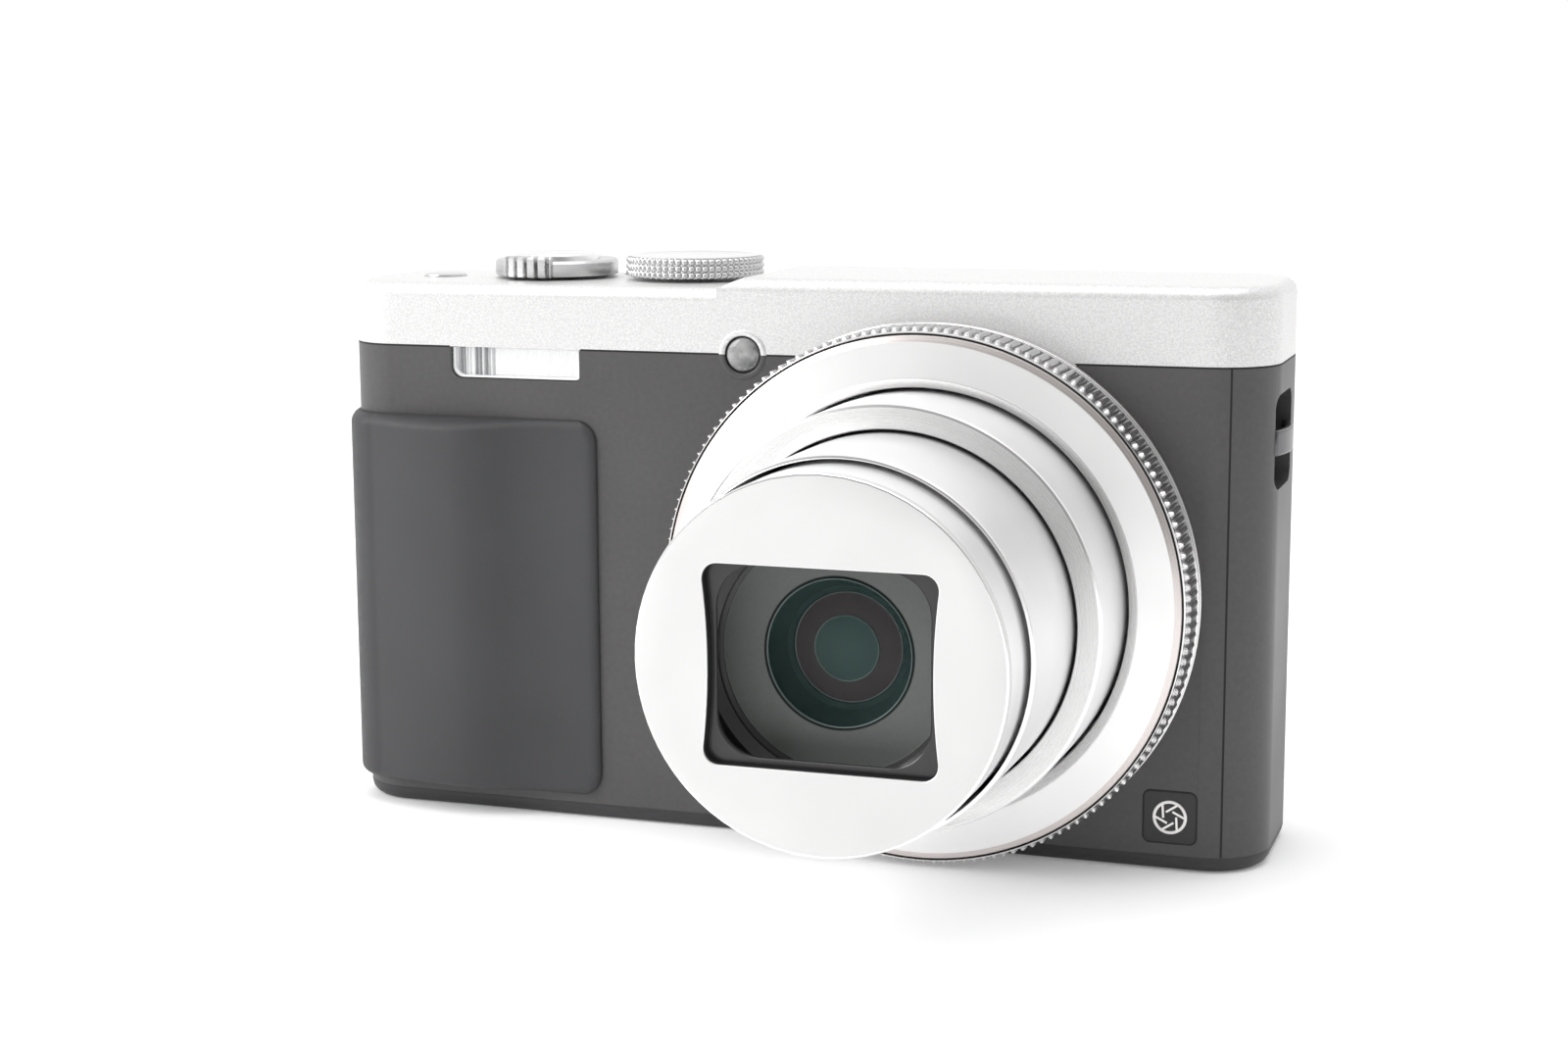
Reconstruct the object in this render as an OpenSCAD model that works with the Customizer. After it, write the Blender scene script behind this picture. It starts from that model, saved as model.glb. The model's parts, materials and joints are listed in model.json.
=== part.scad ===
// Compact digital camera with a telescoping zoom lens, drawn switched on with the lens out.
// Millimetres. X to the right seen from the front, Y from the front to the back, Z up.
// The origin is the mouth of the tripod socket, at mid-width and mid-depth on the base.

/* [Body] */
// Width of the body
body_w = 110.6; // [106:0.1:116]
// Depth of the body from the front face to the back face
body_d = 24; // [24:0.1:26]
// Height of the deck that carries the controls
deck_low = 63.1; // [62.5:0.1:63.5]
// Height of the raised deck over the viewfinder
deck_high = 64.3; // [64:0.1:66]
// Height of the seam between the metal top and the black casing
seam_z = 55.7; // [55:0.1:56.5]
// Radius of the upright corners
corner_r = 7; // [5:0.1:8]
// Rounding of the top and bottom edges
edge_r = 1.5; // [0.8:0.1:2]
// Thickness of the casing walls
wall = 1.2; // [0.8:0.1:1.4]
// Thickness of the bottom cover
base_t = 1.8; // [1.6:0.1:2]
// Place of the upright seam between the front cover and the side cover
side_seam = 50.9; // [50:0.1:52]
// Place of the seam between the front cover and the rear cover
split_y = -2; // [-3:0.1:-1.5]

/* [Lens] */
// Sideways place of the lens axis
lens_x = 18.5; // [16:0.1:20]
// Height of the lens axis
lens_z = 30.2; // [30:0.1:32]
// Radius of the control ring over its knurl
ring_r = 29.8; // [29:0.1:29.9]
// Bore of the fixed lens tube
tube_r = 23.25; // [23.2:0.05:23.6]
// Outer radius of the rear barrel
barrel_1_r = 22.9; // [22:0.1:22.9]
// Outer radius of the middle barrel
barrel_2_r = 19.8; // [19:0.1:19.8]
// Outer radius of the front barrel
barrel_3_r = 18.95; // [18:0.05:18.95]
// How far the rear barrel stands out of the front face
barrel_1_out = 19; // [18:0.1:20]
// How far the middle barrel stands out
barrel_2_out = 35.6; // [34:0.1:36]
// How far the front barrel stands out
barrel_3_out = 42.4; // [41:0.1:43]

/* [Controls] */
// Place of the shutter button and the zoom lever
shutter_x = -32.6; // [-34:0.1:-31]
// Place of the mode dial
dial_x = -15.2; // [-16:0.1:-14.8]
// Radius of the mode dial
dial_r = 8.2; // [7.5:0.1:8.3]
// Radius of the zoom lever's ring
lever_r = 7.4; // [6.5:0.1:7.5]
// Radius of the rear cursor dial
cursor_r = 9.6; // [9:0.1:10]

/* [Hidden] */

$fn = 96;
big = 200;
front_y = -body_d/2;
back_y = body_d/2;
left_x = -body_w/2;
right_x = body_w/2;
in_back = back_y - wall;

// flash window, focus lamp and badge on the front
flash_x0 = -40.4;
flash_x1 = -24.1;
flash_z0 = 52;
flash_mid_z = (flash_z0 + seam_z)/2;
tube_slot = 0.55;
lamp_x = -4.1;
lamp_r = 2.05;
lamp_hole_r = 2.65;
badge_x = 45.3;
badge_z = 6.15;
badge_s = 5.7;

// raised deck step
step_x0 = -7.2;
step_x1 = -4.1;

// screen on the back
lcd_x0 = -17.7;
lcd_x1 = 49.3;
lcd_z0 = 3.4;
lcd_z1 = 53.4;

// viewfinder eyepiece on the back
evf_x0 = 33;
evf_x1 = 48;
evf_z0 = 56.7;
evf_z1 = 62.4;
diopter_x = 28.6;
diopter_z = 59.6;

// controls on the deck
shutter_y = 1.5;
lever_z = 63.4;
dial_y = 2.6;
movie_x = -46.5;
movie_y = -0.5;
power_x = -24.3;
power_y = 8.1;
power_r = 2;

// controls on the back
cursor_x = -36;
cursor_z = 22;
set_r = 5;
key_r = 2.5;
play_x = -46;
play_z = 39;
show_x = -25.6;
show_z = 39;
bin_x = -25.6;
bin_z = 6.6;

// battery, card and their door
bat_x0 = -48.3;
bat_x1 = -13.3;
bat_y0 = -9.5;
bat_y1 = 1.5;
bat_z0 = 2.7;
bat_z1 = 44.7;
bay_t = 0.5;
card_x0 = -45;
card_x1 = -21;
door_x0 = -50;
door_hinge_x = -12.4;
door_y0 = -9.8;
door_y1 = 6.8;
door_pin_r = 0.4;
latch_x = -44;

// connector door on the grip side
port_y0 = -1.2;
port_z0 = 21;
port_z1 = 43;
port_t = 1.1;
port_hinge_y = 4.45;

// strap recess on the side
strap_y0 = -7;
strap_y1 = 3;
strap_z0 = 42;
strap_z1 = 52.4;
strap_depth = 3.4;

// grip over the front face: crest, thickness, slope and outline
crest_x = -36.5;
crest_t = 3.6;
pad_t = 0.9;
slope_w = 9.5;
grip_x1 = -22.1;
grip_z0 = 2.9;
grip_z1 = 47.5;
grip_side = 0.5;
swell_x = -50.5;

// window in the front ring: full sizes, corner radius and bow of the short sides
win_w = 24.2;
win_h = 20;
win_r = 1.8;
win_bow = 0.75;

// lens barrier blades, parked above and below the window
blade_r = 17.8;
blade_t = 0.3;
blade_w = 30;
open_h = 10.15;

// tripod socket, a quarter-inch thread's outer radius
socket_r = 3.175;
socket_depth = 4.5;
socket_relief_r = 3.5;
insert_r = 5;
insert_h = 6.5;

// screws in the base
screw_head_r = 1.5;
screw_head_t = 0.85;
screw_shank_r = 0.8;
screw_places = [[46.5, -6.5], [46.5, 6.5], [-6, 6], [10, -8]];

// zoom gear train, module and tooth counts
gear_m = 0.5;
ring_teeth = 104;
pinion_teeth = 12;
mesh_angle = 140;
mesh_r = gear_m*(ring_teeth + pinion_teeth)/2;
pinion_x = lens_x + mesh_r*cos(mesh_angle);
pinion_z = lens_z + mesh_r*sin(mesh_angle);
gear_y = -6;
gear_w = 2;
motor_shaft_r = 0.8;

// lens stations, front edge of each barrel and length
b1_y = front_y - barrel_1_out;
b2_y = front_y - barrel_2_out;
b3_y = front_y - barrel_3_out;
barrel_len = 24.8;
cell_y = -48;
cell_r = 18.35;
glass_y = -47.4;
glass_back = -44.6;
glass_r = 7.9;
shutter_y0 = -14.2;
group_y0 = -33.5;
seat_y = 4.4;
sensor_y = 7.4;
lens_hole_r = 24.6;
guide_x = 10.5;
guide_r = 0.7;
focus_y0 = 2.6;
focus_y1 = 4.2;
tube_out_r = 24.3;
flange_r = 29.95;
boss_r = 25.55;
trim_y = front_y - 7.45;

// ---------- shared shapes ----------

// rounded rectangle drawn with exact arcs
module round_rect(w, h, r) {
    square([w - 2*r, h], center = true);
    square([w, h - 2*r], center = true);
    for (sx = [-1, 1], sy = [-1, 1]) {
        translate([sx*(w/2 - r), sy*(h/2 - r)]) circle(r);
    }
}

// box between two corners
module block(a, b) {
    translate(a) cube(b - a);
}

// upright rounded slab between two heights
module slab(w, d, r, z0, z1) {
    translate([0, 0, z0]) linear_extrude(z1 - z0) round_rect(w, d, r);
}

// one upright corner of the body with rounded top and bottom edges
module corner_post(h) {
    steps = 4;
    low = [for (i = [0:steps]) let (a = 90*i/steps)
        [corner_r - edge_r + edge_r*sin(a), edge_r - edge_r*cos(a)]];
    high = [for (i = [0:steps]) let (a = 90*i/steps)
        [corner_r - edge_r + edge_r*cos(a), h - edge_r + edge_r*sin(a)]];
    rotate_extrude($fn = 64) polygon(concat([[0, 0]], low, high, [[0, h]]));
}

// outside of the body up to a deck height
module outer_body(h) {
    hull() {
        for (sx = [-1, 1], sy = [-1, 1]) {
            translate([sx*(body_w/2 - corner_r), sy*(body_d/2 - corner_r), 0]) corner_post(h);
        }
    }
}

// hollow inside the casing
module cavity(z0, z1) {
    slab(body_w - 2*wall, body_d - 2*wall, corner_r - wall, z0, z1);
}

// turned shape on the lens axis, profile points are [radius, y]
module on_axis(profile) {
    translate([lens_x, 0, lens_z]) rotate([90, 0, 0])
        rotate_extrude($fn = 128) polygon([for (p = profile) [p[0], -p[1]]]);
}

// cylinder along Y between two depths
module rod_y(x, z, r, y0, y1) {
    translate([x, y1, z]) rotate([90, 0, 0]) cylinder(h = y1 - y0, r = r);
}

// tube along Y
module tube_y(x, z, r_in, r_out, y0, y1) {
    difference() {
        rod_y(x, z, r_out, y0, y1);
        rod_y(x, z, r_in, y0 - 1, y1 + 1);
    }
}

// plate in the XZ plane from a rounded rectangle
module plate_y(x0, x1, z0, z1, r, y0, y1) {
    translate([(x0 + x1)/2, y1, (z0 + z1)/2]) rotate([90, 0, 0])
        linear_extrude(y1 - y0) round_rect(x1 - x0, z1 - z0, r);
}

// involute tooth, half angle at a radius
function inv(a) = tan(a)*180/PI - a;
function half_tooth(m, n, r, play) =
    let (rb = m*n*cos(20)/2)
    90/n - play + inv(20) - (r > rb ? inv(acos(rb/r)) : 0);
function polar(r, a) = [r*cos(a), r*sin(a)];
function tooth(m, n, play) =
    let (rp = m*n/2, r0 = rp - 1.2*m, r1 = rp + 0.95*m, k = 4,
         rs = [for (i = [0:k]) r0 + (r1 - r0)*i/k])
    concat([polar(r0 - 0.3, half_tooth(m, n, r0, play))],
           [for (r = rs) polar(r, half_tooth(m, n, r, play))],
           [for (i = [k:-1:0]) polar(rs[i], -half_tooth(m, n, rs[i], play))],
           [polar(r0 - 0.3, -half_tooth(m, n, r0, play))]);

// ---------- casing ----------

module front_cover() {
    color([0.16, 0.16, 0.17]) difference() {
        intersection() {
            outer_body(deck_low);
            block([-big, front_y - 1, base_t], [side_seam, split_y, seam_z]);
        }
        cavity(base_t - 1, seam_z + 1);
        rod_y(lens_x, lens_z, lens_hole_r, -20, 0);
        block([flash_x0 - 0.1, front_y - 1, flash_z0 - 0.1], [flash_x1 + 0.1, 0, seam_z + 1]);
        rod_y(lamp_x, seam_z, lamp_hole_r, -20, 0);
        plate_y(badge_x - badge_s/2 - 0.1, badge_x + badge_s/2 + 0.1, badge_z - badge_s/2 - 0.1,
            badge_z + badge_s/2 + 0.1, 0.9, front_y - 1, front_y + 0.4);
    }
}

module deck_shape() {
    outer_body(deck_low);
    intersection() {
        outer_body(deck_high);
        translate([0, big/2, 0]) rotate([90, 0, 0]) linear_extrude(big)
            polygon([[step_x0, deck_low - 2], [step_x0, deck_low], [step_x1, deck_high + 0.1],
                [big, deck_high + 0.1], [big, deck_low - 2]]);
    }
}

module top_cover() {
    color([0.86, 0.86, 0.87]) difference() {
        intersection() {
            deck_shape();
            block([-big, -big, seam_z], [big, big, big]);
        }
        cavity(0, deck_low - wall);
        rod_y(lamp_x, seam_z, lamp_hole_r, -20, 0);
        translate([shutter_x, shutter_y, 50]) cylinder(h = 30, r = 6.1);
        translate([dial_x, dial_y, 50]) cylinder(h = 30, r = 3.05);
        translate([movie_x, movie_y, 50]) cylinder(h = 30, r = key_r + 0.1);
        translate([power_x, power_y, 50]) cylinder(h = 30, r = power_r + 0.1);
        plate_y(evf_x0 - 0.1, evf_x1 + 0.1, evf_z0 - 0.1, evf_z1 + 0.1, 1.3, 0, 20);
        rod_y(diopter_x, diopter_z, 1.25, 0, 20);
    }
}

module rear_cover() {
    color([0.15, 0.15, 0.16]) difference() {
        intersection() {
            outer_body(deck_low);
            block([-big, split_y, base_t], [side_seam, big, seam_z]);
        }
        cavity(base_t - 1, seam_z + 1);
        plate_y(lcd_x0 - 0.1, lcd_x1 + 0.1, lcd_z0 - 0.1, lcd_z1 + 0.1, 1.1, 5, 20);
        rod_y(cursor_x, cursor_z, cursor_r + 0.15, in_back - 1, 20);
        for (p = [[play_x, play_z], [show_x, show_z], [bin_x, bin_z]]) {
            rod_y(p[0], p[1], key_r + 0.1, 5, 20);
        }
        block([left_x - 1, port_y0 - 0.15, port_z0 - 0.15],
            [left_x + wall + 1, port_hinge_y + port_t/2 + 0.15, port_z1 + 0.15]);
        translate([left_x + port_t/2, port_hinge_y, port_z0 - 1.5])
            cylinder(h = port_z1 - port_z0 + 3, r = 0.4);
    }
}

module side_cover() {
    color([0.14, 0.14, 0.15]) difference() {
        union() {
            difference() {
                intersection() {
                    outer_body(deck_low);
                    block([side_seam, -big, base_t], [big, big, seam_z]);
                }
                cavity(base_t - 1, seam_z + 1);
            }
            intersection() {
                outer_body(deck_low);
                block([right_x - strap_depth - 0.8, strap_y0 - 0.8, strap_z0 - 0.8],
                    [right_x, strap_y1 + 0.8, strap_z1 + 0.8]);
            }
        }
        translate([right_x + 1, (strap_y0 + strap_y1)/2, (strap_z0 + strap_z1)/2])
            rotate([90, 0, -90]) linear_extrude(strap_depth + 1)
                round_rect(strap_y1 - strap_y0, strap_z1 - strap_z0, 1.6);
    }
}

module bottom_cover() {
    color([0.13, 0.13, 0.14]) difference() {
        intersection() {
            outer_body(deck_low);
            block([-big, -big, -1], [big, big, base_t]);
        }
        translate([0, 0, -1]) cylinder(h = 5, r = insert_r + 0.05);
        block([door_x0 - 0.15, door_y0 - 0.15, -1], [door_hinge_x + 1.2, door_y1 + 0.15, 5]);
        rod_y(door_hinge_x, base_t/2, door_pin_r + 0.05, door_y0 - 1.4, door_y1 + 1.4);
        for (p = screw_places) {
            translate([p[0], p[1], -1]) cylinder(h = 5, r = screw_shank_r + 0.15);
            translate([p[0], p[1], -1]) cylinder(h = 2.1, r = screw_head_r + 0.1);
        }
    }
}

// thickness of the grip over the front face at a sideways place
function grip_t(x) = x < crest_x
    ? crest_t - 2.2*pow((x - crest_x)/14, 2)
    : pad_t + (crest_t - pad_t)*pow(max(0, 1 - (x - crest_x)/slope_w), 1.8);

// plan outline of the grip pad, wrapped round the end of the body
function grip_outer() =
    let (rx = swell_x - left_x + grip_side, top = front_y - grip_t(swell_x), ry = -5.5 - top)
    concat([[left_x - grip_side, split_y - 0.6]],
        [for (i = [0:8]) let (a = 90*i/8)
            [swell_x - rx*cos(a), -5.5 - ry*sin(a)]],
        [for (i = [1:7]) let (x = swell_x + (crest_x - swell_x)*i/7) [x, front_y - grip_t(x)]],
        [for (i = [1:7]) let (x = crest_x + slope_w*i/7) [x, front_y - grip_t(x)]],
        [[grip_x1 - 0.7, front_y - pad_t], [grip_x1 - 0.2, front_y - pad_t*0.75],
         [grip_x1, front_y - pad_t*0.35], [grip_x1, front_y]]);

module grip() {
    color([0.11, 0.11, 0.12]) difference() {
        intersection() {
            translate([0, 0, grip_z0]) linear_extrude(grip_z1 - grip_z0)
                polygon(concat(grip_outer(), [[grip_x1, split_y - 0.6]]));
            plate_y(left_x - 6, grip_x1, grip_z0, grip_z1, 2.6, -30, 0);
        }
        slab(body_w, body_d, corner_r, -1, 70);
    }
}

module badge() {
    color([0.1, 0.1, 0.1]) difference() {
        plate_y(badge_x - badge_s/2, badge_x + badge_s/2, badge_z - badge_s/2,
            badge_z + badge_s/2, 0.8, front_y - 0.05, front_y + 0.35);
        tube_y(badge_x, badge_z, 1.2, 1.6, front_y - 1, front_y + 0.1);
    }
}

// ---------- flash and focus lamp ----------

module flash_window() {
    color([0.9, 0.9, 0.92, 0.5])
        block([flash_x0, front_y, flash_z0], [flash_x1, front_y + 1, seam_z - 0.1]);
}

module flash_reflector() {
    color([0.9, 0.9, 0.9]) difference() {
        block([flash_x0 + 0.3, front_y + 1.3, flash_z0 - 1.2],
            [flash_x1 - 0.3, front_y + 6, seam_z + 0.6]);
        translate([flash_x0 + 0.9, front_y + 1.2, flash_mid_z]) rotate([0, 90, 0])
            cylinder(h = flash_x1 - flash_x0 - 1.8, r = 2.4);
        block([flash_x0 - 1, front_y + 2.6, flash_mid_z - tube_slot],
            [flash_x1 + 1, front_y + 3.7, flash_mid_z + tube_slot]);
    }
}

module flash_tube() {
    color([0.85, 0.88, 0.9]) translate([flash_x0 - 1.2, front_y + 3.15, flash_mid_z])
        rotate([0, 90, 0]) cylinder(h = flash_x1 - flash_x0 + 2.4, r = tube_slot - 0.05);
}

module flash_capacitor() {
    color([0.1, 0.1, 0.2]) translate([-37, 1.8, 50.6]) rotate([0, 90, 0])
        cylinder(h = 26, r = 3.9);
}

module af_lamp() {
    color([0.35, 0.36, 0.37]) union() {
        rod_y(lamp_x, seam_z, lamp_r, front_y - 0.1, front_y + 2.6);
        rod_y(lamp_x, seam_z, lamp_r + 0.5, front_y + 0.9, front_y + 2.6);
    }
}

// ---------- screen and viewfinder ----------

module lcd_window() {
    color([0.05, 0.05, 0.06])
        plate_y(lcd_x0, lcd_x1, lcd_z0, lcd_z1, 1, in_back + 0.1, back_y + 0.1);
}

module lcd_module() {
    color([0.3, 0.32, 0.34]) plate_y(lcd_x0 + 1, lcd_x1 - 1, lcd_z0 + 0.6, lcd_z1 - 1, 0.6,
        in_back - 2, in_back);
}

module evf_eyepiece() {
    color([0.08, 0.08, 0.08]) difference() {
        plate_y(evf_x0, evf_x1, evf_z0, evf_z1, 1.2, in_back - 9, back_y + 1);
        plate_y(evf_x0 + 2, evf_x1 - 2, evf_z0 + 0.9, evf_z1 - 0.9, 0.6, back_y - 0.4, back_y + 2);
    }
}

// ---------- inside the body ----------

module chassis() {
    color([0.6, 0.61, 0.62]) difference() {
        union() {
            block([bat_x0 - 0.4 - bay_t, bat_y0 - 0.3 - bay_t, 2.2],
                [bat_x1 + 0.4 + bay_t, bat_y1 + 0.4 + bay_t, bat_z1 + 0.4 + bay_t]);
            block([bat_x1 + 0.4, -10.2, 2.2], [49, 6.4, 3]);
            for (p = screw_places) {
                translate([p[0], p[1], base_t]) cylinder(h = 4.2, r = 1.9);
            }
        }
        block([bat_x0 - 0.4, bat_y0 - 0.3, 1], [bat_x1 + 0.4, bat_y1 + 0.4, bat_z1 + 0.4]);
        translate([0, 0, 1]) cylinder(h = 10, r = 5.3);
        for (p = screw_places) {
            translate([p[0], p[1], 1]) cylinder(h = 10, r = screw_shank_r + 0.05);
        }
        rod_y(lens_x, lens_z, 27, -11, 8);
    }
}

module battery() {
    color([0.25, 0.26, 0.3]) block([bat_x0, bat_y0, bat_z0], [bat_x1, bat_y1, bat_z1]);
}

module card_slot() {
    color([0.7, 0.7, 0.7]) difference() {
        block([card_x0 - 0.8, 2.9, 2.7], [card_x1 + 0.8, 6.3, 36]);
        block([card_x0 - 0.15, 3.45, 2], [card_x1 + 0.15, 5.85, 35.2]);
    }
}

module memory_card() {
    color([0.1, 0.1, 0.25]) block([card_x0, 3.6, 3], [card_x1, 5.7, 35]);
}

module main_board() {
    color([0.05, 0.3, 0.15]) difference() {
        block([-52, 7, 3], [-9.8, 7.8, 54]);
        for (p = screw_places) translate([p[0], p[1], 1]) cylinder(h = 10, r = 2.3);
    }
    for (p = [[-44, 44], [-26, 44]]) {
        block([p[0] - 5, 6, p[1] - 5], [p[0] + 5, 7, p[1] + 5]);
    }
}

module top_board() {
    color([0.05, 0.3, 0.15]) block([-50, -8.5, 58.5], [-8, 9.5, 59.3]);
}

module sensor_board() {
    color([0.05, 0.3, 0.15])
        block([lens_x - 12, sensor_y, lens_z - 11], [lens_x + 12, sensor_y + 0.8, lens_z + 11]);
}

module image_sensor() {
    color([0.15, 0.15, 0.25])
        block([lens_x - 5.2, 6.1, lens_z - 4.4], [lens_x + 5.2, sensor_y, lens_z + 4.4]);
}

module sockets() {
    color([0.7, 0.7, 0.7]) for (z = [24, 34.5]) {
        difference() {
            block([left_x + 1.6, 0.2, z], [left_x + 6, 3, z + 7.2]);
            block([left_x + 1, 0.5, z + 0.3], [left_x + 5, 2.7, z + 6.9]);
        }
    }
}

module tripod_insert() {
    color([0.65, 0.65, 0.6]) difference() {
        union() {
            cylinder(h = insert_h, r = insert_r);
            translate([0, 0, base_t]) cylinder(h = 0.35, r = insert_r + 0.2);
        }
        translate([0, 0, -1]) cylinder(h = socket_depth + 1, r = socket_r);
        translate([0, 0, socket_depth]) cylinder(h = 0.7, r = socket_relief_r);
    }
}

module strap_lug() {
    bulge = 0.85;
    bow_r = 14;
    middle = [right_x + bulge - bow_r, (strap_y0 + strap_y1)/2, 45.8];
    color([0.35, 0.35, 0.36]) intersection() {
        difference() {
            translate(middle) cylinder(h = 2.8, r = bow_r);
            translate(middle - [0, 0, 0.8]) cylinder(h = 5, r = bow_r - 0.9);
        }
        block([right_x - 2, strap_y0, 45], [right_x + 3, strap_y1, 50]);
    }
}

module case_screws() {
    color([0.3, 0.3, 0.3]) for (p = screw_places) {
        difference() {
            union() {
                translate([p[0], p[1], 0.25]) cylinder(h = screw_head_t, r = screw_head_r);
                translate([p[0], p[1], 1.05]) cylinder(h = 4.6, r = screw_shank_r);
            }
            for (a = [0, 90]) translate([p[0], p[1], 0.2]) rotate([0, 0, a])
                translate([-0.9, -0.18, 0]) cube([1.8, 0.36, 0.5]);
        }
    }
}

// ---------- lens unit ----------

module lens_base() {
    color([0.7, 0.71, 0.72]) union() {
        on_axis([[tube_r, trim_y + 0.55], [boss_r, trim_y + 0.55], [boss_r, front_y - 1.2],
            [flange_r, front_y - 1.2], [flange_r, front_y], [tube_out_r, front_y],
            [tube_out_r, seat_y + 1.4], [6.5, seat_y + 1.4], [6.5, seat_y + 0.1],
            [tube_r, seat_y + 0.1]]);
        for (s = [-1, 1]) {
            rod_y(lens_x + s*guide_x, lens_z, guide_r, 0.4, seat_y + 0.3);
        }
    }
}

module trim_ring() {
    color([0.88, 0.88, 0.89])
        on_axis([[tube_r + 0.05, trim_y + 0.55], [tube_r + 0.05, trim_y], [24.4, trim_y - 0.8],
            [29, trim_y], [29.05, trim_y + 0.15], [29.05, trim_y + 0.55]]);
}

module control_ring() {
    teeth = 80;
    color([0.82, 0.82, 0.83]) difference() {
        on_axis([[boss_r + 0.05, front_y - 1.45], [29.8, front_y - 1.45], [ring_r, trim_y + 1.6],
            [29.35, trim_y + 0.05], [29.2, trim_y], [29.2, trim_y + 0.8],
            [boss_r + 0.05, trim_y + 0.8]]);
        for (i = [0:teeth - 1]) {
            translate([lens_x, front_y - 2, lens_z]) rotate([0, i*360/teeth, 0])
                translate([ring_r, 0, 0]) rotate([90, 0, 0]) cylinder(h = 3.7, r = 0.45, $fn = 8);
        }
    }
}

module drive_ring() {
    r0 = gear_m*ring_teeth/2 - 1.2*gear_m;
    color([0.2, 0.2, 0.2]) union() {
        tube_y(lens_x, lens_z, tube_out_r + 0.05, r0, -8, 2);
        translate([lens_x, gear_y + gear_w, lens_z]) rotate([90, 0, 0]) linear_extrude(gear_w)
            for (i = [-11:32]) rotate(mesh_angle + i*360/ring_teeth)
                polygon(tooth(gear_m, ring_teeth, 0.07));
    }
}

module motor_pinion() {
    color([0.75, 0.65, 0.3]) difference() {
        union() {
            rod_y(pinion_x, pinion_z, gear_m*pinion_teeth/2 - 1.1*gear_m, gear_y, gear_y + gear_w);
            translate([pinion_x, gear_y + gear_w, pinion_z]) rotate([90, 0, 0]) linear_extrude(gear_w)
                for (i = [0:pinion_teeth - 1]) rotate(mesh_angle + 180 + (i + 0.5)*360/pinion_teeth)
                    polygon(tooth(gear_m, pinion_teeth, 0.6));
        }
        rod_y(pinion_x, pinion_z, motor_shaft_r + 0.05, -10, 0);
    }
}

module zoom_motor() {
    color([0.6, 0.6, 0.62]) union() {
        rod_y(pinion_x, pinion_z, 3.3, gear_y + gear_w + 0.3, 6.3);
        rod_y(pinion_x, pinion_z, motor_shaft_r, gear_y - 0.4, gear_y + gear_w + 0.4);
    }
}

module barrel_1() {
    color([0.8, 0.8, 0.81])
        on_axis([[barrel_1_r - 1.4, b1_y + 3], [20.15, b1_y + 3], [20.15, b1_y + 0.45],
            [barrel_1_r - 0.35, b1_y - 0.1], [barrel_1_r - 0.05, b1_y + 0.1],
            [barrel_1_r, b1_y + 0.4], [barrel_1_r, b1_y + barrel_len],
            [barrel_1_r - 1.4, b1_y + barrel_len]]);
}

module shutter_unit() {
    color([0.12, 0.12, 0.12]) difference() {
        rod_y(lens_x, lens_z, 15, shutter_y0, shutter_y0 + 3.7);
        rod_y(lens_x, lens_z, 4, shutter_y0 - 1, shutter_y0 + 5);
    }
}

module barrel_2() {
    color([0.8, 0.8, 0.81])
        on_axis([[barrel_2_r - 0.45, b2_y + 0.1], [barrel_2_r - 0.3, b2_y], [barrel_2_r - 0.1, b2_y + 0.05],
            [barrel_2_r, b2_y + 0.3], [barrel_2_r, b2_y + barrel_len + 0.8],
            [barrel_2_r - 0.45, b2_y + barrel_len + 0.8]]);
}

module zoom_lens() {
    color([0.12, 0.12, 0.12]) difference() {
        rod_y(lens_x, lens_z, 17.6, group_y0, group_y0 + 3.2);
        rod_y(lens_x, lens_z, 5, group_y0 - 1, group_y0 + 1.1);
        rod_y(lens_x, lens_z, 5, group_y0 + 2.1, group_y0 + 4);
    }
}

module barrel_3() {
    color([0.85, 0.85, 0.86])
        on_axis([[barrel_3_r - 0.55, b3_y + 1], [barrel_3_r, b3_y + 1],
            [barrel_3_r, b3_y + barrel_len + 0.6], [barrel_3_r - 0.55, b3_y + barrel_len + 0.6]]);
}

// rounded window with slightly bowed short sides
module lens_window(w, h, r, bow) {
    bow_r = (h*h/16 + bow*bow)/(2*bow);
    difference() {
        round_rect(w, h, r);
        if (bow > 0) for (s = [-1, 1]) translate([s*(w/2 + bow_r*4 - bow), 0]) circle(bow_r*4);
    }
}

module front_ring() {
    color([0.93, 0.93, 0.93]) difference() {
        on_axis([[0, b3_y], [barrel_3_r - 0.15, b3_y], [barrel_3_r, b3_y + 0.15],
            [barrel_3_r, b3_y + 1], [0, b3_y + 1]]);
        translate([lens_x, b3_y + 2, lens_z]) rotate([90, 0, 0]) linear_extrude(4)
            lens_window(win_w, win_h, win_r, win_bow);
    }
}

module lens_cell() {
    color([0.1, 0.1, 0.1]) difference() {
        union() {
            on_axis([[0, cell_y + 1.6], [12, cell_y + 1.6], [13.6, cell_y], [cell_r, cell_y],
                [cell_r, cell_y + 8], [0, cell_y + 8]]);
            tube_y(lens_x, lens_z, blade_r + 0.15, cell_r, b3_y + 1.1, cell_y + 0.1);
            difference() {
                rod_y(lens_x, lens_z, cell_r, b3_y + 1.1, b3_y + 1.7);
                translate([lens_x, b3_y + 3, lens_z]) rotate([90, 0, 0]) linear_extrude(4)
                    round_rect(21.8, 19.8, 4.4);
            }
        }
        rod_y(lens_x, lens_z, glass_r + 0.1, cell_y - 2, glass_back);
    }
}

module front_glass() {
    color([0.1, 0.25, 0.2])
        on_axis([[0, glass_y], [2, glass_y + 0.07], [4, glass_y + 0.27], [6, glass_y + 0.6],
            [glass_r, glass_y + 1.1], [glass_r, glass_back - 0.1], [0, glass_back - 0.1]]);
}

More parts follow.
